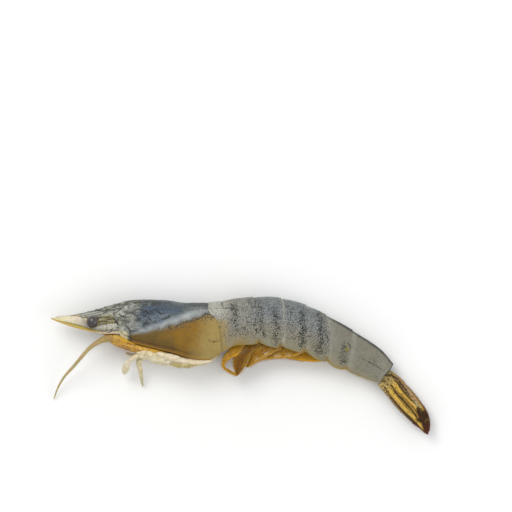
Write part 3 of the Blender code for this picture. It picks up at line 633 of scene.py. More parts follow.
def makeCarapace(material):
    t = aroundBody(carapace["around"])
    along = np.linspace(0.0, 1.0, carapace["along"])
    points, down = carapaceGrid(along, t)
    along = along[:, None]
    x, y = points[..., 0], points[..., 1]
    facing = np.abs(t - math.pi) + 0 * x
    flank = ramp(facing, 0.5, 0.7)
    wander = waves(points, 5.0, 3)
    seamY = smoothRail(x, seam["x"], seam["y"]) + 0.3 * wander + 0.15 * waves(points, 1.6, 4)
    front = ramp(-x, 43.2, 44.6)
    head = ramp(-x, 36.0, 46.0) * ramp(y, 11.0, 15.0)

    relief = 0.12 * waves(points, 9.0, 5) + 0.035 * waves(points, 2.4, 6)
    relief += (0.03 * waves(points, 3.0, 7) + 0.05 * streaks(points, 1.5, 8)) * head
    for line, width, depth in furrows:
        relief -= depth * lineMark(points, line, width)
    relief += (0.20 * hump(down, 0.955, 0.02) - 0.16 * hump(down, 0.90, 0.02)) * ramp(-x, 8.0, 14.0) * flank
    relief += 0.05 * hump(along, 0.012, 0.008) - 0.05 * hump(along, 0.03, 0.008) - 0.08
    relief *= ramp(along, 0.0, 0.01) * (1 - 0.7 * ramp(-x, 58.0, 66.0))
    shell = relieve(points, relief)

    # The rear lip turns in over ring 1
    inner = []
    for back, size in carapace["lip"]:
        ring, _ = carapaceGrid(np.array([back]), t)
        middle = ring.mean(axis=1, keepdims=True)
        inner.append(middle + (ring - middle) * size)
    points = np.vstack([*inner[::-1], shell])

    flecks = hump(streaks(shell, 2.6, 31), 0.0, 0.26) * ramp(waves(shell, 4.0, 34), -0.7, 0.3)
    flecks = np.maximum(flecks, ramp(streaks(shell, 1.5, 35, 0.2, 4.0), 0.15, 0.55) * hump(x, -37.0, 6.0)
                        * ramp(waves(shell, 5.0, 36), -0.4, 0.4))
    glints = ramp(streaks(shell, 1.2, 32) + 0.5 * waves(shell, 4.0, 33), 0.15, 0.9)
    marks = marked(shell, [(line, 0.34) for line in headMarks])
    marks *= ramp(waves(shell, 3.0, 12), -0.8, 0.0)     # broken into lengths
    crest = marked(shell, [(line, 0.36) for line in crestMarks]) * ramp(waves(shell, 1.8, 13), -0.5, 0.3)
    # Painted shadow: a dark olive patch in the hollow beside the cream lobe, added to the dark marks
    nookShadow = np.exp(-(((x + 45.0) / 0.9) ** 2 + ((y - 11.4) / 1.6) ** 2))
    marks = np.max([marks, 0.85 * crest, 0.8 * lineMark(shell, rearMark, 0.24), 0.6 * nookShadow], axis=0)
    under = seamY - y
    below = ramp(under, -0.5, 0.9)
    upper = ramp(-under, 0.8, 2.4)
    lobe = np.hypot((x + 47.0) * 0.83 - (y - 12.3) * 0.55, ((x + 47.0) * 0.55 + (y - 12.3) * 0.83) * 1.7)
    rearTop = ramp(x + 1.2 * wander, -19.0, -11.5) * ramp(y, 18.4, 20.6)
    streaky = np.clip(head + 0.75 * upper * ramp(-x, 26.0, 38.0), 0.0, 1.0)
    bandWidth = 0.9 + 0.04 * np.clip(x + 42, 0, 34)
    band = 0.9 * hump(-under, 1.2 + 0.025 * (x + 40), bandWidth) * ramp(-x, 44.0, 39.0)
    fields = {
        "gold": below * (1 - front) * flank,
        # The 0.4 * front term tints the lower front olive: partly the crust's olive front, partly painted
        # shade in the hollow beside the cream lobe
        "olive": below * (0.95 * ramp(-x + 2 * wander, 20.0, 38.0) + 0.5 * ramp(down, 0.72, 0.9)
                          + 0.2 * waves(shell, 4.0, 14) * (1 - front) + 0.4 * front) * flank,
        "beige": ramp(x + 0.8 * wander + 0.25 * (14.0 - y), -21.0, -10.5) * below,
        "pale": np.maximum(band * (0.85 + 0.15 * waves(shell, 5.0, 15)), 0.1 * rearTop),
        # On the head this whitish layer follows the glints: painted highlights over pale crust; above the seam
        # it is faint pale streaks of the crust
        "milk": 0.8 * head * ramp(-x, 38.0, 44.0) * glints * (1 - 0.6 * ramp(-x, 60.0, 64.0))
        + 0.15 * upper * ramp(streaks(shell, 3.0, 17), 0.0, 0.9),
        "blue": upper * hump(x, -33.0, 13.0) * (0.85 + 0.3 * waves(shell, 4.0, 18)),
        "crest": ramp(down, 0.17, 0.05) * (0.4 + 0.6 * ramp(-x, 26.0, 40.0))
        * (1 - 0.6 * ramp(-x, 57.0, 63.0)) * ramp(waves(shell, 2.6, 11), -0.7, 0.2),
        "cream": np.maximum(ramp(lobe, 2.9, 2.0) * (0.85 + 0.3 * waves(shell, 1.6, 19)),
                            0.85 * ramp(-x, 57.0, 63.0) * ramp(down, 0.15, 0.4)),
        "rim": ramp(down, 0.93, 0.96) * flank * ramp(-x, 8.0, 12.0) * (1 - 0.8 * front),
        "rust": (hump(down, 0.90, 0.02) * ramp(-x, 18.0, 26.0) + 0.5 * hump(down, 0.965, 0.012)) * flank
        * (1 - front) * (0.8 + 0.3 * wander),
        "flesh": ramp(facing, 0.55, 0.35),
        "grey": ramp(-x + 2.0 * wander, 38.0, 48.0) * ramp(y, 11.0, 15.0),
        "dark": np.maximum(marks, 0.85 * streaky * flecks),
        "speck": (0.62 * hump(under, 0.35, 1.1) * ramp(x, -40.0, -30.0) + 0.5 * ramp(-under, 2.0, 4.0)
                  + 0.4 * below * hump(under, 1.5, 2.0) * ramp(x, -32.0, -20.0) + 0.5 * rearTop
                  + 0.45 * ramp(x, -24.0, -14.0) * upper + 0.08 * below) * flank,
        "vein": upper * (0.2 + 0.8 * ramp(-x, 26.0, 38.0) - 0.8 * ramp(-x, 42.0, 48.0)),
    }
    # The lip takes the colours of the rear edge
    rows = np.maximum(np.arange(len(points)) - len(inner), 0)
    shapes = [skin(points, {key: value[rows] for key, value in fields.items()})]

    # Teeth along the rostrum's crest: flat cones that lean forward
    teethX, sizes = zip(*carapace["teeth"])
    tops = smoothRail(teethX, carapaceRails["x"], carapaceRails["back"])
    for place, size, top in zip(teethX, sizes, tops):
        path = through(sided(((place + 0.9 * size, top - 0.7, 0.0), (place + 0.1 * size, top - 0.35, 0.0),
                              (place - 0.9 * size, top - 0.2, 0.0)), 1), 14)
        taper = np.linspace(1.0, 0.08, 14) ** 0.8
        shapes.append(skin(tubeGrid(path, 0.34 * taper, 0.24 * taper, 12), {"crest": 0.8 * taper[:, None]}))
    # The chest between the legs, a long cushion of pale flesh under the crust's lower edge
    path = through(sided(carapace["chest"], 1), 120)
    swell = rounded(120, 6, 0.99, -0.99)
    grid = tubeGrid(path[:, :3], path[:, 3] * swell, carapace["chestBreadth"] * swell, 72)
    grid = relieve(grid, 0.16 * np.cos(np.linspace(0.0, 34.0, 120))[:, None] + 0.12 * waves(grid, 2.0, 21))
    shapes.append(skin(grid, {"flesh": 1.0, "rim": 0.35 * ramp(waves(grid, 2.4, 22), 0.0, 0.8)}))
    # A brow over each eye, then the antennal and hepatic spines on both flanks
    for _, sign in bothSides:
        path = through(sided(carapace["brow"], sign), 80)
        swell = path[:, 3] * rounded(80, 8, 0.98, -0.98)
        grid = tubeGrid(path[:, :3], swell, swell * 0.9, 40)
        grid = relieve(grid, 0.14 * waves(grid, 1.8, 23))
        under = ramp(path[:, None, 1] - grid[..., 1], -0.2, 0.9)
        # Whitish streaks on the brow: pale crust and painted glints
        shapes.append(skin(grid, {"milk": ramp(streaks(grid, 1.3, 24), -0.1, 0.6), "grey": 1.0, "speck": 0.2,
                                  "cream": 0.7 * under,
                                  "dark": 0.8 * hump(streaks(grid, 2.2, 25), 0.0, 0.3)}))
        for x, y, side, reach in carapace["spines"]:
            spine = ((x + reach, y, side * 0.98), (x, y, side), (x - reach, y + 0.1, side))
            path = through(sided(spine, sign), 10)
            taper = 0.4 * np.linspace(1.0, 0.06, 10)
            shapes.append(skin(tubeGrid(path, taper, taper, 10), {"pale": 0.6}))
    build("carapace", shapes, material)


makeCarapace(wetChitin("wetCarapace", carapaceLook))
print("carapace made")


# Limbs: jointed tubes, drawn by x, y, side of the middle plane and radius

def jointedTube(points, rings, sides, joints, flatness, seed):
    # A limb of several joints: each widens towards its far end and is nipped where the next one starts.
    # Its last stretch is rounded off, and its surface wavers a little
    end = 0.15
    places = through(points, rings)
    share = np.linspace(0.0, 1.0, rings)
    marks = np.array([0.0, *joints, 1.0])
    which = np.clip(np.searchsorted(marks, share, side="right") - 1, 0, len(marks) - 2)
    part = (share - marks[which]) / (marks[which + 1] - marks[which])
    last = which == len(marks) - 2
    shape = (0.92 + np.where(last, 0.06, 0.13 * part**2)) * (0.86 + 0.14 * ramp(part, 0.0, 0.12))
    shape *= np.where(last, 1.0, 1.0 - 0.16 * ramp(part, 0.94, 1.0))
    radius = places[:, 3] * shape * np.sqrt(1.0 - np.clip((share - 1 + end) / end, 0.0, 0.995) ** 2)
    grid = tubeGrid(places[:, :3], radius, radius * flatness, sides)
    nip = np.maximum(ramp(part, 0.90, 1.0) * (1 - last), ramp(part, 0.1, 0.0) * (which > 0))
    grid = relieve(grid, 0.05 * waves(grid, 1.8, seed) * np.minimum(1.0, radius)[:, None])
    return grid, share[:, None], nip[:, None]


legs = {
    "hanging": (
        ((-37.0, 4.0, 5.2, 0.8), (-41.6, 3.9, 4.6, 0.85), (-44.6, 2.2, 3.0, 0.75), (-46.4, -1.4, -1.0, 1.3),
         (-47.1, -3.6, -3.0, 0.9)),
        ((-38.6, 3.4, 1.0, 0.8), (-40.7, 2.2, 0.6, 0.95), (-40.4, -2.4, -3.0, 0.85), (-39.6, -8.8, -7.4, 0.3)),
    ),
    "forward": (
        ((-37.0, 4.4, 5.2, 0.8), (-42.0, 5.8, 5.2, 0.9), (-46.4, 7.8, 4.9, 0.8), (-49.0, 9.2, 4.6, 0.5)),
        ((-38.4, 2.9, 3.2, 0.75), (-41.5, 3.6, 3.6, 0.75), (-44.4, 4.2, 4.0, 0.6), (-46.6, 5.1, 4.2, 0.35)),
    ),
    "folded": (
        ((-36.5, 2.6, 3.4, 0.9), (-30.0, 1.3, 3.6, 1.2), (-22.0, 0.3, 3.4, 1.1), (-12.4, 1.5, 3.2, 0.5)),
        ((-34.4, 4.5, 5.6, 0.9), (-30.0, 3.4, 5.8, 1.2), (-22.0, 1.3, 5.6, 1.0), (-16.0, 0.5, 5.0, 0.4)),
        ((-36.0, 1.9, 1.0, 0.8), (-28.0, 0.6, 1.0, 0.85), (-22.0, 0.2, 0.9, 0.75), (-15.0, 0.6, 0.9, 0.35)),
    ),
    "hips": (
        ((-42.0, 5.6, 4.8, 0.8), (-38.6, 5.2, 5.4, 1.4), (-33.0, 3.9, 5.4, 1.3)),
        ((-42.0, 4.4, 3.2, 0.8), (-38.6, 3.8, 3.6, 1.3), (-33.0, 2.6, 3.6, 1.3)),
        ((-38.5, 4.2, 5.0, 0.9), (-33.0, 2.9, 5.0, 1.6), (-25.5, 1.3, 4.6, 1.2)),
        ((-34.0, 5.2, 6.6, 0.8), (-28.0, 3.4, 6.4, 1.4), (-20.0, 1.5, 6.0, 1.2), (-11.6, 1.9, 5.4, 0.6)),
        ((-28.5, 0.9, 5.8, 0.9), (-23.5, 0.3, 5.9, 1.3), (-17.0, 0.7, 5.6, 0.8)),
    ),
    "hipTints": ({"white": 0.2, "pink": 0.4}, {"pink": 0.7, "white": 0.4}, {"white": 0.7, "pink": 0.3},
                 {"pink": 0.8, "white": 0.5}, {"honey": 0.9, "green": 0.4}),
    "joints": (0.22, 0.5, 0.72), "rings": 150, "sides": 28, "plump": 1.15, "clawFrom": 0.84, "bristle": 0.9,
    "hipRings": 80, "bristles": 46,
}
# Which leg: number, side, points, tint, whether it has a claw, and seed
legPlan = [
    (1, 1, legs["hanging"][0], {"pink": 0.7, "white": 0.3}, False, 101),
    (2, 1, legs["hanging"][1], {"green": 0.75}, False, 102),
    (1, -1, legs["forward"][0], {"pink": 0.4}, True, 103),
    (2, -1, legs["forward"][1], {"white": 0.4}, True, 104),
]
foldedTints = ({"white": 0.6, "pink": 0.5}, {"pink": 0.8, "white": 0.7}, {"honey": 0.7})
for _, sign in bothSides:
    legPlan += [(number, sign, points, tint, number == 3, 100 + number * 2 + sign)
                for number, (points, tint) in enumerate(zip(legs["folded"], foldedTints), start=3)]
# Leg crust: thin and milky, so the pale flesh shows, with honey-coloured joints
legLook = {
    "base": "#ddd0a6", "mottle": "#b4a87a", "mottleSize": 2.0, "roughness": 0.4,
    "speck": "#8a7440", "vein": "#98753c", "veinSize": 2.2, "glow": 0.15, "film": 0.25,
    "layers": [("pink", "#d8bd9c", 0.8), ("honey", "#a17f37", 0.8), ("green", "#96976a", 0.9),
               ("dark", "#6b4a1e", 0.6), ("white", "#ddd6c2", 0.9)],
}


def makeLeg(number, sign, points, tint, claw, seed, material):
    points = [(x, y, z, radius * legs["plump"]) for x, y, z, radius in sided(points, sign)]
    grid, s, nip = jointedTube(points, legs["rings"], legs["sides"], legs["joints"], 0.88, seed)
    places = through(points, legs["rings"])
    tint = {"honey": 0.0, "pink": 0.0, "green": 0.0, "white": 0.0, **tint}
    fields = {
        "honey": np.maximum(0.6 * nip, tint["honey"] * ramp(s, 0.0, 0.3)),
        "pink": tint["pink"] * hump(s, 0.45, 0.25),
        "green": tint["green"] * ramp(s, 0.45, 0.8),
        "dark": 0.4 * hump(nip, 1.0, 0.25),
        "vein": 0.8 + 0 * s,
    }
    white = tint["white"] * hump(s, 0.6, 0.2) + 0.25
    cut = int(legs["clawFrom"] * legs["rings"]) if claw else legs["rings"]
    shapes = [skin(grid[:cut], {key: value[:cut] for key, value in {**fields, "white": white}.items()})]
    forward = unit(np.gradient(places[:, :3], axis=0))
    side = unit(np.cross((0.0, 0.0, 1.0), forward))
    if claw:
        # Two fingers of the claw, side by side, that close on each other
        tip = slice(cut - 3, None)
        for turn in (1, -1):
            finger = places[tip, :3] + side[tip] * (0.46 * turn * places[tip, 3:])
            size = 0.48 * places[tip, 3] * rounded(len(finger), 3, 0.99)
            ring = onTable(tubeGrid(finger, size, size * 1.1, 20))
            shapes.append(skin(ring, {key: value[tip] for key, value in fields.items()}))
    # The hip joint: a stout pale lobe laid along the crust's lower edge, with a waist
    rings = legs["hipRings"]
    path = through(sided(legs["hips"][number - 1], sign), rings)
    swell = path[:, 3] * rounded(rings, 6, 0.98, -0.98)
    ring = tubeGrid(path[:, :3], swell, swell, 36)
    waist = hump(np.linspace(0, 1, rings), 0.45, 0.03)[:, None]
    ring = relieve(ring, 0.12 * (waves(ring, 2.0, seed + 30) - waist))
    light = 0.5 + 0.7 * ramp(waves(ring * (0.5, 1.0, 1.0), 1.6, seed + 31), -0.3, 0.6)
    tints = {key: value * light for key, value in legs["hipTints"][number - 1].items()}
    shapes.append(skin(ring, {"vein": 0.9, "dark": 0.7 * ramp(waves(ring, 1.6, seed + 32), 0.4, 0.9),
                              "green": 0.6 * ramp(waves(ring, 2.6, seed + 33), 0.3, 0.9), **tints}))
    rng = np.random.default_rng(seed)
    at = rng.integers(8, cut - 8, legs["bristles"])
    turn = rng.uniform(0, 2 * math.pi, len(at))[:, None]
    ways = side[at] * np.cos(turn) + np.cross(forward[at], side[at]) * np.sin(turn)
    roots = places[at, :3] + ways * (0.8 * places[at, 3:])
    ways = ways + forward[at] * 1.6
    free = roots[:, 2] > 0.8
    shapes.append(hairs(roots[free], ways[free], legs["bristle"], 0.07, (0, 0, -0.15), seed, {"honey": 0.7}))
    build(f"leg_{number}_{'left' if sign > 0 else 'right'}", shapes, material)


wetLeg = wetChitin("wetLegCrust", legLook)
for plan in legPlan:
    makeLeg(*plan, wetLeg)
print("walking legs made")


# Mouth legs, mouthparts and antenna bases: honey-coloured, with rust lines

mouth = {
    "leg": ((-30.0, 4.7, 5.8, 0.8), (-36.0, 5.8, 5.4, 1.3), (-42.0, 6.9, 4.6, 1.7), (-49.0, 9.3, 3.6, 1.9),
            (-54.6, 11.2, 2.6, 0.7)),
    "parts": ((-50.6, 12.5, 0.0, 0.6), (-52.2, 12.7, 0.0, 0.9), (-54.0, 12.8, 0.0, 0.85),
              (-56.0, 13.2, 0.0, 0.4)),
    "base": ((-42.6, 8.4, 4.8, 0.9), (-47.4, 10.2, 5.0, 1.35), (-51.0, 11.1, 4.9, 1.35),
             (-54.0, 11.4, 4.8, 0.9)),
    "lines": (((-53.4, 11.6), (-48.0, 9.9), (-42.0, 7.8)), ((-52.0, 10.0), (-46.0, 7.6), (-37.0, 5.0)),
              ((-50.8, 8.6), (-46.6, 7.0), (-42.4, 5.4))),
    "lineWidth": 0.36, "partsBreadth": 2.7, "bristle": 1.3,
    "legFolds": 5, "partsFolds": 8,         # folds round the section, which run lengthwise
}
mouthLook = {
    "base": "#c89a2c", "mottle": "#b48722", "mottleSize": 2.0, "roughness": 0.4,
    "speck": "#6e3d12", "vein": "#74451b", "veinSize": 2.0, "glow": 0.1, "film": 0.25,
    "layers": [("rust", "#70380f", 0.95), ("cream", "#c4a662", 0.9), ("honey", "#bb9440", 0.8)],
}


def rustLines(points):
    # The long rust lines of the mouth's crust, broken and uneven
    found = marked(points, [(line, mouth["lineWidth"]) for line in mouth["lines"]])
    broken = ramp(waves(points, 4.0, 134), -0.9, 0.0)
    return found * broken * (0.45 + 0.55 * ramp(points[..., 0], -51.0, -46.0))


def makeMouthLeg(name, sign, material):
    grid, s, _ = jointedTube(sided(mouth["leg"], sign), 130, 40, (), 0.95, 130 + sign)
    folds = np.cos(mouth["legFolds"] * turns(40) + 0.6)[None, :]
    grid = relieve(grid, 0.09 * folds * hump(s, 0.5, 0.4))
    roots = grid[12:118:3, [22, 26, 30, 34]].reshape(-1, 3)      # the side that looks down and forward
    ways = np.tile((-0.75, -0.15, -0.35), (len(roots), 1))
    fields = {"rust": rustLines(grid), "cream": 0.5 * ramp(folds, 0.5, 1.0), "vein": 0.4, "speck": 0.2}
    bristles = hairs(roots, ways, mouth["bristle"], 0.08, (-0.1, 0.0, 0.1), 5, {"honey": 0.8})
    build(name, [skin(grid, fields), bristles], material)


def makeMouthparts(material):
    # A sheaf of lobes between the antenna bases, folded lengthwise
    places = through(sided(mouth["parts"], 1), 90)
    breadth = mouth["partsBreadth"] * places[:, 3] / places[:, 3].max()
    folds = np.cos(mouth["partsFolds"] * turns(64))[None, :]
    grid = relieve(tubeGrid(places[:, :3], places[:, 3], breadth, 64), 0.12 * folds)
    fields = {"rust": 0.8 * ramp(-folds, 0.3, 0.9), "cream": 0.4 * ramp(folds, 0.4, 1.0), "vein": 0.5}
    build("mouthparts", [skin(grid, fields)], material)


def makeAntennaBase(name, sign, material):
    grid, s, nip = jointedTube(sided(mouth["base"], sign), 90, 40, (0.8,), 1.0, 140 + sign)
    fields = {"cream": 0.4 * hump(s, 0.7, 0.2), "rust": np.maximum(rustLines(grid), 0.4 * nip), "vein": 0.5,
              "speck": 0.2}
    build(name, [skin(grid, fields)], material)


wetMouth = wetChitin("wetHoneyCrust", mouthLook)
for word, sign in bothSides:
    makeMouthLeg(f"mouth_leg_{word}", sign, wetMouth)
    makeAntennaBase(f"antenna_base_{word}", sign, wetMouth)
makeMouthparts(wetMouth)
print("mouthparts made")


# Feeler: a whip of fine rings in straw and pink

feeler = {
    "points": ((-51.4, 11.2, 4.8, 1.3), (-54.6, 10.6, 4.8, 1.35), (-57.5, 9.3, 4.4, 1.0),
               (-60.6, 7.1, 3.4, 0.8), (-64.0, 3.4, 1.6, 0.7), (-67.4, -0.6, -0.8, 0.62),
               (-70.7, -4.2, -3.2, 0.5), (-73.4, -8.6, -5.6, 0.4), (-75.3, -13.6, -8.0, 0.25)),
    "length": 44.0, "pitch": 0.42, "perPitch": 6, "sides": 18, "ripple": 0.07, "patches": 31.0,
}
feelerLook = {
    "base": "#bcab76", "mottle": "#ad9c64", "mottleSize": 3.0, "roughness": 0.42,
    "speck": "#8b6a34", "vein": "#8f7440", "glow": 0.1, "film": 0.2,
    "layers": [("pink", "#b58b68", 0.8), ("green", "#9a9b6a", 0.75), ("honey", "#a48046", 0.6),
               ("groove", "#85693c", 0.5)],
}


def makeFeeler(material):
    rings = int(feeler["length"] / feeler["pitch"]) * feeler["perPitch"]
    places = through(sided(feeler["points"], 1), rings)
    s = np.linspace(0.0, 1.0, rings)[:, None]
    step = np.cos(2 * math.pi * s * feeler["length"] / feeler["pitch"])
    radius = places[:, 3] * (1.0 + feeler["ripple"] * step[:, 0]) * rounded(rings, 30, 0.99)
    grid = onTable(tubeGrid(places[:, :3], radius, radius, feeler["sides"]))
    fields = {"pink": 0.5 * ramp(np.cos(s * feeler["patches"]), 0.0, 0.8),
              "green": ramp(np.cos(s * feeler["patches"] + 2.6), 0.2, 0.9) * ramp(s, 0.3, 0.6),
              "honey": ramp(s, 0.2, 0.02), "groove": ramp(-step, 0.2, 1.0), "speck": 0.15}
    build("feeler", [skin(grid, fields)], material)


makeFeeler(wetChitin("strawWhip", feelerLook))
print("feeler made")


# Eyes on their stalks

eye = {
    "centre": (-59.4, 17.7, 4.6), "radius": 2.5,
    "stalk": ((-50.6, 18.0, 3.9, 1.0), (-54.2, 18.3, 4.6, 1.5), (-57.0, 18.0, 4.6, 1.6)), "stalkRings": 36,
}
# Cornea: thousands of black-brown facets under a clear film, over an olive stalk
eyeLook = {
    "base": "#1d1715", "mottle": "#2b2220", "mottleSize": 1.6, "roughness": 0.2, "shine": 0.5,
    "speckSize": 0.22, "speck": "#4c3f48", "vein": "#1c170d", "veinSize": 2.0, "glow": 0.02,
    "film": 0.6, "grainSize": 0.25,
    "layers": [("plum", "#4d4037", 0.9), ("olive", "#665d28", 1.0), ("cream", "#b5a878", 0.8),
               ("dark", "#14100e", 0.9)],
}


def makeEye(name, sign, material):
    rings = eye["stalkRings"]
    stalk = through(sided(eye["stalk"], sign), rings + 4)[:rings]
    (centre,) = np.array(sided([eye["centre"]], sign))
    turn = np.radians(np.linspace(36.0, 179.0, 70))       # from the stalk's end round to the far side
    ball = centre - unit(centre - stalk[0, :3]) * eye["radius"] * np.cos(turn)[:, None]
    radius = np.concatenate([stalk[:, 3], eye["radius"] * np.sin(turn)])
    grid = tubeGrid(np.vstack([stalk[:, :3], ball]), radius, radius, 72)
    onBall = np.concatenate([np.zeros(rings), ramp(turn, 0.75, 0.95)])[:, None]
    grid = relieve(grid, 0.06 * waves(grid, 1.6, 150) * (1 - onBall) - 0.12 * hump(onBall, 0.5, 0.2))
    upper = ramp(grid[..., 1] - centre[1], -0.6, 1.4)
    lines = ramp(waves(grid * (0.4, 1.0, 1.0), 1.0, 151, 22), 0.1, 0.5) * (1 - onBall)
    # The lighter tint on the upper half of the ball is painted sheen on the lit top of the cornea
    fields = {"plum": 0.5 * onBall * upper, "olive": 1 - onBall, "cream": 0.4 * (1 - onBall) * (1 - upper),
              "speck": 0.55 * onBall, "vein": 1 - onBall, "dark": np.maximum(hump(onBall, 0.6, 0.25), lines)}
    build(name, [skin(grid, fields)], material)


cornea = wetChitin("blackCornea", eyeLook)
for word, sign in bothSides:
    makeEye(f"eye_{word}", sign, cornea)
print("eyes made")


# Antennal scales and antennules

scale = {
    "x": (-48.6, -56.0, -61.0, -64.0, -67.0, -70.0, -73.0, -76.5),
    "outerY": (13.0, 13.0, 13.9, 14.5, 15.3, 16.3, 17.4, 18.9),
    "outerSide": (5.2, 5.6, 5.7, 5.3, 4.7, 3.9, 2.9, 1.5),
    "innerY": (14.8, 15.4, 16.8, 19.2, 19.8, 19.7, 19.3, 19.0),
    "innerSide": (1.3, 1.2, 1.1, 1.8, 1.9, 1.7, 1.2, 0.9),
    "stem": ((-48.6, 15.4, 2.9, 2.1), (-54.0, 15.7, 2.9, 2.0), (-58.0, 15.1, 2.6, 1.5),
             (-61.5, 14.9, 2.4, 0.9)),
    "rings": 140, "sides": 72, "plate": 0.34, "rim": 0.42, "bristle": 1.1, "bristles": 110, "markWidth": 0.24,
}
antennule = {
    "points": ((-51.8, 15.9, 1.2, 0.8), (-57.0, 17.7, 1.1, 0.8), (-63.0, 18.2, 1.0, 0.75),
               (-71.5, 19.1, 0.75, 0.35)),
    "joints": (0.3, 0.5, 0.68), "rings": 150, "stemShare": 0.62, "whip": 0.34,
}
# Scale crust: a pearly plate with a thick honey-coloured outer rim
scaleLook = {
    "base": "#e0d9c6", "mottle": "#cdc6b2", "mottleSize": 2.0, "roughness": 0.4, "speckSize": 0.7,
    "speck": "#6a664e", "vein": "#35342a", "veinSize": 2.2, "veinFrom": 0.92, "glow": 0.1, "film": 0.25,
    "layers": [("grey", "#8d9088", 0.8), ("pink", "#cfae8c", 0.6), ("cream", "#d3c996", 0.8),
               ("rim", "#b8923a", 1.0), ("olive", "#969238", 0.8), ("dark", "#3f3722", 1.0)],
}
scaleMarks = (
    ((-57.0, 13.6), (-54.6, 15.0), (-53.4, 17.0)), ((-55.8, 13.4), (-53.6, 14.2), (-52.2, 15.8)),
    ((-53.8, 13.2), (-52.2, 13.6), (-51.4, 14.6)), ((-58.4, 15.2), (-56.2, 16.4), (-54.4, 16.8)),
)


def makeScale(name, sign, material):
    # A plate between an inner and an outer edge line, of even thickness, with a groove inside its thick rim
    rings, groove = scale["rings"], 0.40
    x = np.linspace(scale["x"][0], scale["x"][-1] + 0.25, rings)
    outer, inner = (
        np.stack([x, smoothRail(x, scale["x"], scale[key + "Y"]),
                  drawing["headMiddle"] + sign * smoothRail(x, scale["x"], scale[key + "Side"])], axis=1)
        for key in ("outer", "inner"))
    half = (outer - inner) / 2
    normal = unit(np.cross(half, (1.0, 0.0, 0.0)))
    t = turns(scale["sides"])
    u = np.cos(t)[None, :]
    s = np.linspace(0.0, 1.0, rings)[:, None]
    closing = rounded(rings, 12)[:, None]
    thick = scale["plate"] + (scale["rim"] - scale["plate"]) * ramp(u, 0.6, 0.85)
    lift = np.sign(np.sin(t)) * np.abs(np.sin(t)) ** 0.6
    ribs = 0.05 * np.cos(7.5 * math.pi * u) * ramp(0.6 - u, 0.0, 0.2) - 0.16 * hump(u, groove, 0.07)
    grid = ((outer + inner) / 2)[:, None] + half[:, None] * u[..., None] * 0.985
    grid = grid + normal[:, None] * ((thick + ribs * np.abs(lift)) * closing * lift)[..., None]
    line = 0.95 * hump(u, groove, 0.07) * ramp(s, 0.1, 0.25) * ramp(s, 0.92, 0.75)
    fields = {
        "rim": ramp(u, 0.40, 0.54) * ramp(s, 0.22, 0.42),
        "cream": ramp(s, 0.55, 0.9) * ramp(u, 0.6, 0.4),
        "dark": np.maximum(line, marked(grid, [(mark, scale["markWidth"]) for mark in scaleMarks])),
        "grey": 0.8 * hump(u, 0.1, 0.5) * ramp(s, 0.8, 0.5),
        "pink": np.maximum(0.4 * hump(s, 0.6, 0.2), ramp(u, 0.3, 0.6) * ramp(s, 0.45, 0.25)),
        "olive": 0.9 * ramp(u, 0.4, 0.5) * ramp(u, 0.95, 0.8) * hump(s, 0.55, 0.25),
        "speck": 0.25 * (1 - s),
        "vein": 0.9 * ramp(s, 0.32, 0.12),
    }
    stem = jointedTube(sided(scale["stem"], sign), 90, 48, (0.4, 0.75), 1.0, 165)[0]
    stem = relieve(stem, 0.04 * waves(stem, 1.5, 166))
    cracked = hump(streaks(stem, 2.0, 169, 1.5, 3.0), 0.0, 0.22)
    stemFields = {"grey": 0.45 + 0.4 * ramp(streaks(stem, 1.2, 167, 1.5, 3.0), -0.1, 0.6), "speck": 0.2,
                  "dark": cracked * (0.3 + 0.7 * ramp(stem[..., 0], -54.5, -51.0))}
    at = np.linspace(18, rings - 10, scale["bristles"]).astype(int)
    ways = (-1.0, 0.0, 0.0) - 0.8 * unit(half[at])
    lengths = scale["bristle"] * np.minimum(1, (x[at] + 77.6) / 4)      # shorter towards the tip
    bristles = hairs(inner[at] + half[at] * 0.03, ways, lengths, 0.07, (0.0, 0.0, 0.0), 160, {"rim": 0.6})
    build(name, [skin(grid, fields), skin(stem, stemFields), bristles], material)


def makeAntennule(name, sign, material):
    # A stem of three joints that ends in two short whips
    points, rings = sided(antennule["points"], sign), antennule["rings"]
    grid, _, nip = jointedTube(points, rings, 30, antennule["joints"], 0.95, 170 + sign)
    cut = int(antennule["stemShare"] * rings)
    nip = 0.5 * nip[:cut]
    shapes = [skin(grid[:cut], {"cream": 0.6, "dark": nip, "rim": nip, "speck": 0.3, "vein": 0.4})]
    places = through(points, rings)[cut - 4:, :3]
    radius = (antennule["whip"] * (1 - 0.7 * np.linspace(0, 1, len(places)))
              * (1 + 0.08 * np.cos(np.arange(len(places)) * 1.6)))
    for turn in (1, -1):
        whip = tubeGrid(places + np.array([0.0, 0.22, 0.3]) * turn, radius, radius, 16)
        shapes.append(skin(whip, {"cream": 0.8, "rim": 0.4}))
    build(name, shapes, material)


pearlyScale = wetChitin("pearlyScale", scaleLook)
for word, sign in bothSides:
    makeScale(f"antennal_scale_{word}", sign, pearlyScale)
    makeAntennule(f"antennule_{word}", sign, pearlyScale)
print("antennal scales and antennules made")


# Swimmerets: folded blades swept forward under the abdomen

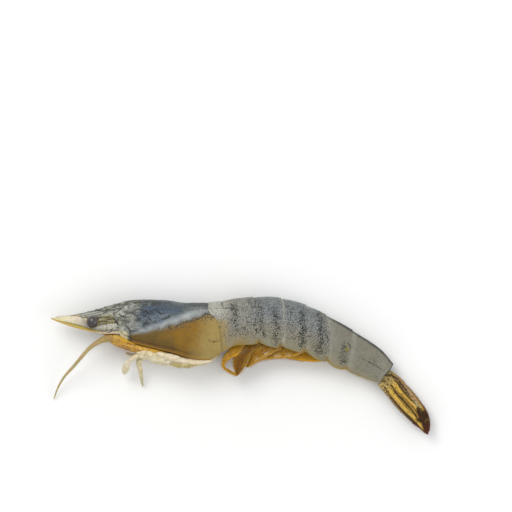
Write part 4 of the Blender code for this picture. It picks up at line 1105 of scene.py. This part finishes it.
swimmerets = {
    "points": (
        ((0.8, 9.2, 3.0, 1.6), (-2.7, 5.9, 4.0, 2.1), (-6.5, 2.6, 4.2, 1.0), (-7.3, -0.4, 4.0, 0.45),
         (-4.8, -2.4, 3.2, 0.45), (-1.6, -4.0, 2.4, 0.6)),
        ((7.2, 9.2, 3.0, 1.2), (3.0, 6.4, 3.8, 1.9), (-0.5, 1.8, 3.6, 2.9), (-1.7, -3.8, 2.8, 1.0)),
        ((15.6, 8.2, 3.0, 1.6), (9.2, 6.2, 3.6, 2.7), (5.0, 3.2, 2.4, 2.3), (2.0, -0.6, 1.6, 1.0)),
        ((25.0, 6.6, 2.8, 1.4), (19.6, 5.4, 3.2, 2.1), (12.4, 4.7, 2.0, 2.0), (6.2, 2.4, 0.9, 0.9)),
        ((32.6, 2.8, 2.4, 1.2), (28.0, 3.1, 3.0, 1.7), (22.0, 3.9, 2.0, 1.7), (15.6, 3.9, 0.9, 0.8)),
    ),
    # Swimmeret 3's cream is a painted highlight line along its blade; swimmeret 4's cream is whitish crust
    "tints": ({"gold": 0.8, "edge": 0.2}, {"brown": 0.9, "edge": 0.5},
              {"gold": 0.4, "brown": 0.5, "cream": 0.9},
              {"gold": 0.6, "brown": 0.3, "cream": 0.8}, {"gold": 0.8, "brown": 0.2, "edge": 0.4}),
    "plain": {"gold": 0.0, "brown": 0.0, "cream": 0.0, "edge": 0.6},
    "rings": 130, "sides": 56, "halfThickness": 0.4, "camber": 0.3, "joint": 0.36,
    "bristle": 1.0, "bristles": 60,
}
# Swimmeret crust: clear honey over brown muscle, with milky edges
swimmeretLook = {
    "base": "#906a14", "mottle": "#73520a", "mottleSize": 2.2, "roughness": 0.38,
    "speck": "#4a2b0a", "vein": "#54330f", "veinSize": 2.4, "glow": 0.1, "film": 0.08, "shine": 0.15,
    "layers": [("brown", "#643b00", 0.95), ("gold", "#c8931c", 0.95), ("cream", "#cbb288", 0.95),
               ("dark", "#3a2208", 0.9)],
}


def makeSwimmeret(number, word, sign, points, tint, material):
    n, seed = swimmerets["rings"], 200 + number * 3 + sign
    tint = {**swimmerets["plain"], **tint}
    root = points[0][0] - abdomen["start"][0]
    middle = float(smoothRail(root, abdomenRails["station"], abdomenRails["halfWidth"])) - drawing["restFlat"]
    places = through(sided(points, sign, middle), n)
    joint = hump(np.linspace(0.0, 1.0, n), swimmerets["joint"], 0.02)     # between stalk and blade
    half = places[:, 3] * rounded(n, 10, 0.985) * (1 - 0.08 * joint)
    thickness = swimmerets["halfThickness"] * np.minimum(1.0, half * 1.6)
    grid, u, s = bladeGrid(places, half, thickness, sign * swimmerets["camber"], swimmerets["sides"])
    ribs = 0.06 * hump(u, 0.0, 0.14) - 0.10 * hump(u, 0.4, 0.1) - 0.05 * hump(u, -0.4, 0.12)
    grid = relieve(grid, ribs * ramp(s, 0.1, 0.3) + 0.05 * waves(grid, 2.5, seed))
    # A pale streak along the middle of the blade: whitish crust on swimmeret 4, a painted highlight line on
    # swimmeret 3
    milkAndHighlight = hump(u, 0.45, 0.25) * hump(s, 0.45, 0.3) * ramp(waves(grid, 3.0, seed + 5), -0.4, 0.5)
    fields = {
        "brown": tint["brown"] * hump(u, -0.1, 0.55) * ramp(s, 0.12, 0.35),
        "gold": tint["gold"] * (1 - 0.5 * hump(u, -0.1, 0.4)),
        "cream": np.maximum(0.8 * ramp(np.abs(u), 0.86, 0.98) * tint["edge"], tint["cream"] * milkAndHighlight),
        "dark": 0.6 * hump(u, 0.34, 0.08) + 0.2 * hump(s, swimmerets["joint"], 0.015),
        "vein": 0.7,
        "speck": 0.25,
    }
    at = np.linspace(int(n * 0.42), n - 5, swimmerets["bristles"]).astype(int)
    bristles = edgeHairs(grid, places, at, 1.5, swimmerets["bristle"], seed, {"gold": 0.9})
    build(f"swimmeret_{number}_{word}", [skin(grid, fields), *bristles], material)


wetSwimmeret = wetChitin("wetSwimmeret", swimmeretLook)
for word, sign in bothSides:
    for number, (points, tint) in enumerate(zip(swimmerets["points"], swimmerets["tints"]), start=1):
        makeSwimmeret(number, word, sign, points, tint, wetSwimmeret)
print("swimmerets made")


# Tail fan: the middle blade and two pairs stacked across it

tail = {
    # x, y, half width and half thickness
    "middle": ((57.6, -2.6, 1.6, 0.7), (62.0, -6.4, 2.2, 0.6), (66.6, -12.4, 1.8, 0.5),
               (71.6, -19.4, 0.5, 0.4)),
    "inner": ((56.8, -4.6, 1.3, 0.45), (61.6, -8.6, 3.3, 0.42), (67.7, -16.0, 4.2, 0.42),
              (72.6, -22.6, 3.25, 0.4), (74.9, -26.6, 1.25, 0.3)),
    "outer": ((55.4, -6.8, 1.3, 0.45), (60.0, -11.0, 2.2, 0.45), (66.1, -17.4, 2.5, 0.42),
              (71.4, -23.1, 1.7, 0.4), (74.6, -27.5, 0.9, 0.3)),
    "innerSide": 1.2, "outerSide": 2.4, "camber": 0.5, "rings": 170, "sides": 84, "trim": 0.965,
    "bristle": 0.55, "bristles": 110,
}
# Tail crust: horny blades, honey and olive, with dark ridges, a brown-black patch and rust-red tips
tailLook = {
    "base": "#94702a", "mottle": "#6e5120", "mottleSize": 2.6, "roughness": 0.4, "speckSize": 0.7,
    "speck": "#3c2a10", "vein": "#2c1f0e", "veinSize": 2.4, "veinFrom": 0.88, "veinTurn": 0.9,
    "edgeSize": 0.7, "glow": 0.06, "film": 0.08, "shine": 0.15,
    "layers": [("gold", "#deb552", 0.95), ("pink", "#a3876e", 0.9), ("cream", "#a6986a", 0.9),
               ("rust", "#62290d", 1.0), ("patch", "#2a1504", 1.0), ("dark", "#140c04", 1.0),
               ("rim", "#8f7030", 0.9), ("red", "#501e09", 1.0)],
}
# Lines on the tail in the table plane, each with its half width: the dark ridges, then pale stripes
tailRidges = (
    (((57.0, -8.6), (60.4, -13.4), (64.6, -18.4), (69.0, -22.4), (72.6, -26.2)), 0.60),
    (((59.8, -7.6), (61.8, -10.8), (65.4, -14.8), (68.8, -18.8), (70.8, -22.0)), 0.58),
    (((60.6, -4.4), (62.6, -7.2), (65.6, -11.2), (69.8, -15.6)), 0.52),
    (((58.2, -3.4), (61.6, -4.8), (64.8, -8.6), (67.8, -12.6)), 0.44),
    (((62.0, -12.0), (65.0, -15.6), (68.6, -19.8)), 0.20),
)
pinkStripes = (
    (((56.4, -9.4), (61.6, -15.6), (66.0, -20.2), (70.4, -23.8)), 0.7),
    (((61.8, -4.2), (65.4, -8.4), (69.0, -12.8), (70.6, -15.2)), 1.0),
)
creamStripe = ((68.6, -14.0), (71.8, -16.8))
tailPatch = ((70.8, -17.4), (72.8, -20.6), (74.2, -25.4))


def makeTailBlade(name, points, side, material, seed):
    n = tail["rings"]
    middle = abdomenRails["halfWidth"][-1] - drawing["restFlat"]
    places = through([(x, y, middle + side, *sizes) for x, y, *sizes in points], n)
    half = places[:, 3] * rounded(n, 14, 0.985) * tail["trim"]
    thickness = places[:, 4] * np.minimum(1.0, half * 1.4)
    grid, u, s = bladeGrid(places, half, thickness, tail["camber"] * np.sign(side), tail["sides"])
    ridge = marked(grid, tailRidges)
    relief = 0.16 * hump(u, 0.05, 0.10) - 0.10 * hump(u, 0.28, 0.08) - 0.10 * hump(u, -0.2, 0.08)
    relief = (relief + 0.03 * np.cos(u * 26.0)) * ramp(s, 0.08, 0.25) * ramp(s, 1.0, 0.85)
    grid = relieve(grid, relief - 0.14 * ridge + 0.04 * waves(grid, 2.2, seed))
    cloudy = lineMark(grid, tailPatch, 3.0) + 0.25 * waves(grid * (1.0, 0.6, 1.0), 2.0, 306)
    rimmed = ramp(np.abs(u), 0.80, 0.95)
    tip = ramp(s, 0.86, 0.97)
    fields = {
        "gold": (0.8 + 0.2 * np.cos(u * 18.0)) * (1 - tip)
        * (1 - 0.6 * ramp(u * np.sign(side + 0.1), 0.35, 0.6)),
        "pink": marked(grid, pinkStripes),
        "cream": np.maximum(0.8 * ramp(s, 0.22, 0.08), lineMark(grid, creamStripe, 1.0)),
        "rust": np.maximum(0.9 * rimmed * ramp(s, 0.2, 0.6), tip),
        "red": np.maximum(0.7 * tip, rimmed * ramp(s, 0.6, 0.85)),
        "patch": ramp(cloudy, 0.15, 0.85) * (1 - 0.6 * ramp(np.abs(u), 0.88, 0.97) * ramp(s, 0.6, 0.8)),
        "dark": np.maximum(ridge * (1 - 0.6 * tip), 0.8 * ramp(np.abs(u), 0.93, 1.0) * ramp(s, 0.0, 0.15)),
        "rim": rimmed * ramp(s, 0.7, 0.45),
        "speck": 0.3 + 0.3 * ramp(s, 0.3, 0.1),
        "vein": 0.25 + 0.75 * ramp(s, 0.25, 0.10),
    }
    at = np.linspace(int(n * 0.3), n - 4, tail["bristles"]).astype(int)
    reach = tail["bristle"] * (1 - 0.5 * ramp(s[at, 0], 0.8, 1.0))
    bristles = edgeHairs(grid, places, at, 1.3, reach, seed, {"rust": 0.8, "red": 0.5})
    build(name, [skin(grid, fields), *bristles], material)


hornyTail = wetChitin("hornyTail", tailLook)
makeTailBlade("telson", tail["middle"], 0.0, hornyTail, 300)
for word, sign in bothSides:
    makeTailBlade(f"tail_blade_inner_{word}", tail["inner"], sign * tail["innerSide"], hornyTail, 302)
    makeTailBlade(f"tail_blade_outer_{word}", tail["outer"], sign * tail["outerSide"], hornyTail, 305)
print("tail fan made")


# Table, lights and camera

view = {
    "centre": (6.1, 44.1),     # what lies in the middle of the picture, in mm on the frame
    "breadth": 204.8,          # mm across the picture at the height of the prawn's outline
    "outline": 8.0, "lens": 500.0, "sensor": 36.0,
    # Each lamp's place and size in metres, and its watts
    "lamps": {"keyLamp": ((-0.35, 0.45, 0.75), 0.5, 3.6), "fillLamp": ((0.55, -0.25, 0.6), 0.6, 1.6)},
    "room": "#f7f8fa", "roomStrength": 0.8,
    "table": ("#f1f1ef", "#efefed"), "tableReach": 3.0, "tableTop": -0.0001,     # metres
}


def makeTable():
    # One large quad just under the prawn, of matt white board
    reach, top = view["tableReach"], view["tableTop"]
    mesh = bpy.data.meshes.new("table")
    corners = [(reach * x, reach * y, top) for x, y in ((-1, -1), (1, -1), (1, 1), (-1, 1))]
    mesh.from_pydata(corners, [], [(0, 1, 2, 3)])
    board = bpy.data.materials.new("mattWhiteBoard")
    board.use_nodes = True
    tree = board.node_tree
    shader = tree.nodes["Principled BSDF"]
    place = addNode(tree, "TexCoord").outputs["Object"]
    cloud = addNode(tree, "TexNoise", Vector=place, Scale=perMetre(60.0), Detail=3.0)
    light, dark = (colour(value) for value in view["table"])
    tone = addNode(tree, "Mix", inColour, i0=cloud, i6=light, i7=dark)
    tree.links.new(tone.outputs[2], shader.inputs["Base Color"])
    shader.inputs["Roughness"].default_value = 0.85
    shader.inputs["Specular IOR Level"].default_value = 0.2
    mesh.materials.append(board)
    addObject("table", mesh)


def makeLamp(name, place, size, watts):
    # A square soft box that faces the prawn
    lamp = bpy.data.lights.new(name, "AREA")
    lamp.shape = "SQUARE"
    lamp.size = size
    lamp.energy = watts
    holder = addObject(name, lamp)
    holder.location = place
    tilt = math.atan2(math.hypot(place[0], place[1]), place[2])
    holder.rotation_euler = (tilt, 0.0, math.atan2(place[1], place[0]) + math.pi / 2)


def makeCamera():
    # Straight down, with a long lens
    data = bpy.data.cameras.new("camera")
    data.lens = view["lens"]
    data.sensor_width = view["sensor"]
    camera = addObject("camera", data)
    away = view["breadth"] * view["lens"] / view["sensor"] + view["outline"]
    camera.location = (view["centre"][0] / 1000, view["centre"][1] / 1000, away / 1000)
    bpy.context.scene.camera = camera


makeTable()
for name, (place, size, watts) in view["lamps"].items():
    makeLamp(name, place, size, watts)
makeCamera()
world = bpy.data.worlds.new("paleRoom")
world.use_nodes = True
backdrop = world.node_tree.nodes["Background"]
backdrop.inputs["Color"].default_value = colour(view["room"])
backdrop.inputs["Strength"].default_value = view["roomStrength"]
bpy.context.scene.world = world
bpy.context.scene.view_settings.view_transform = "Standard"
print("table, lights and camera set")
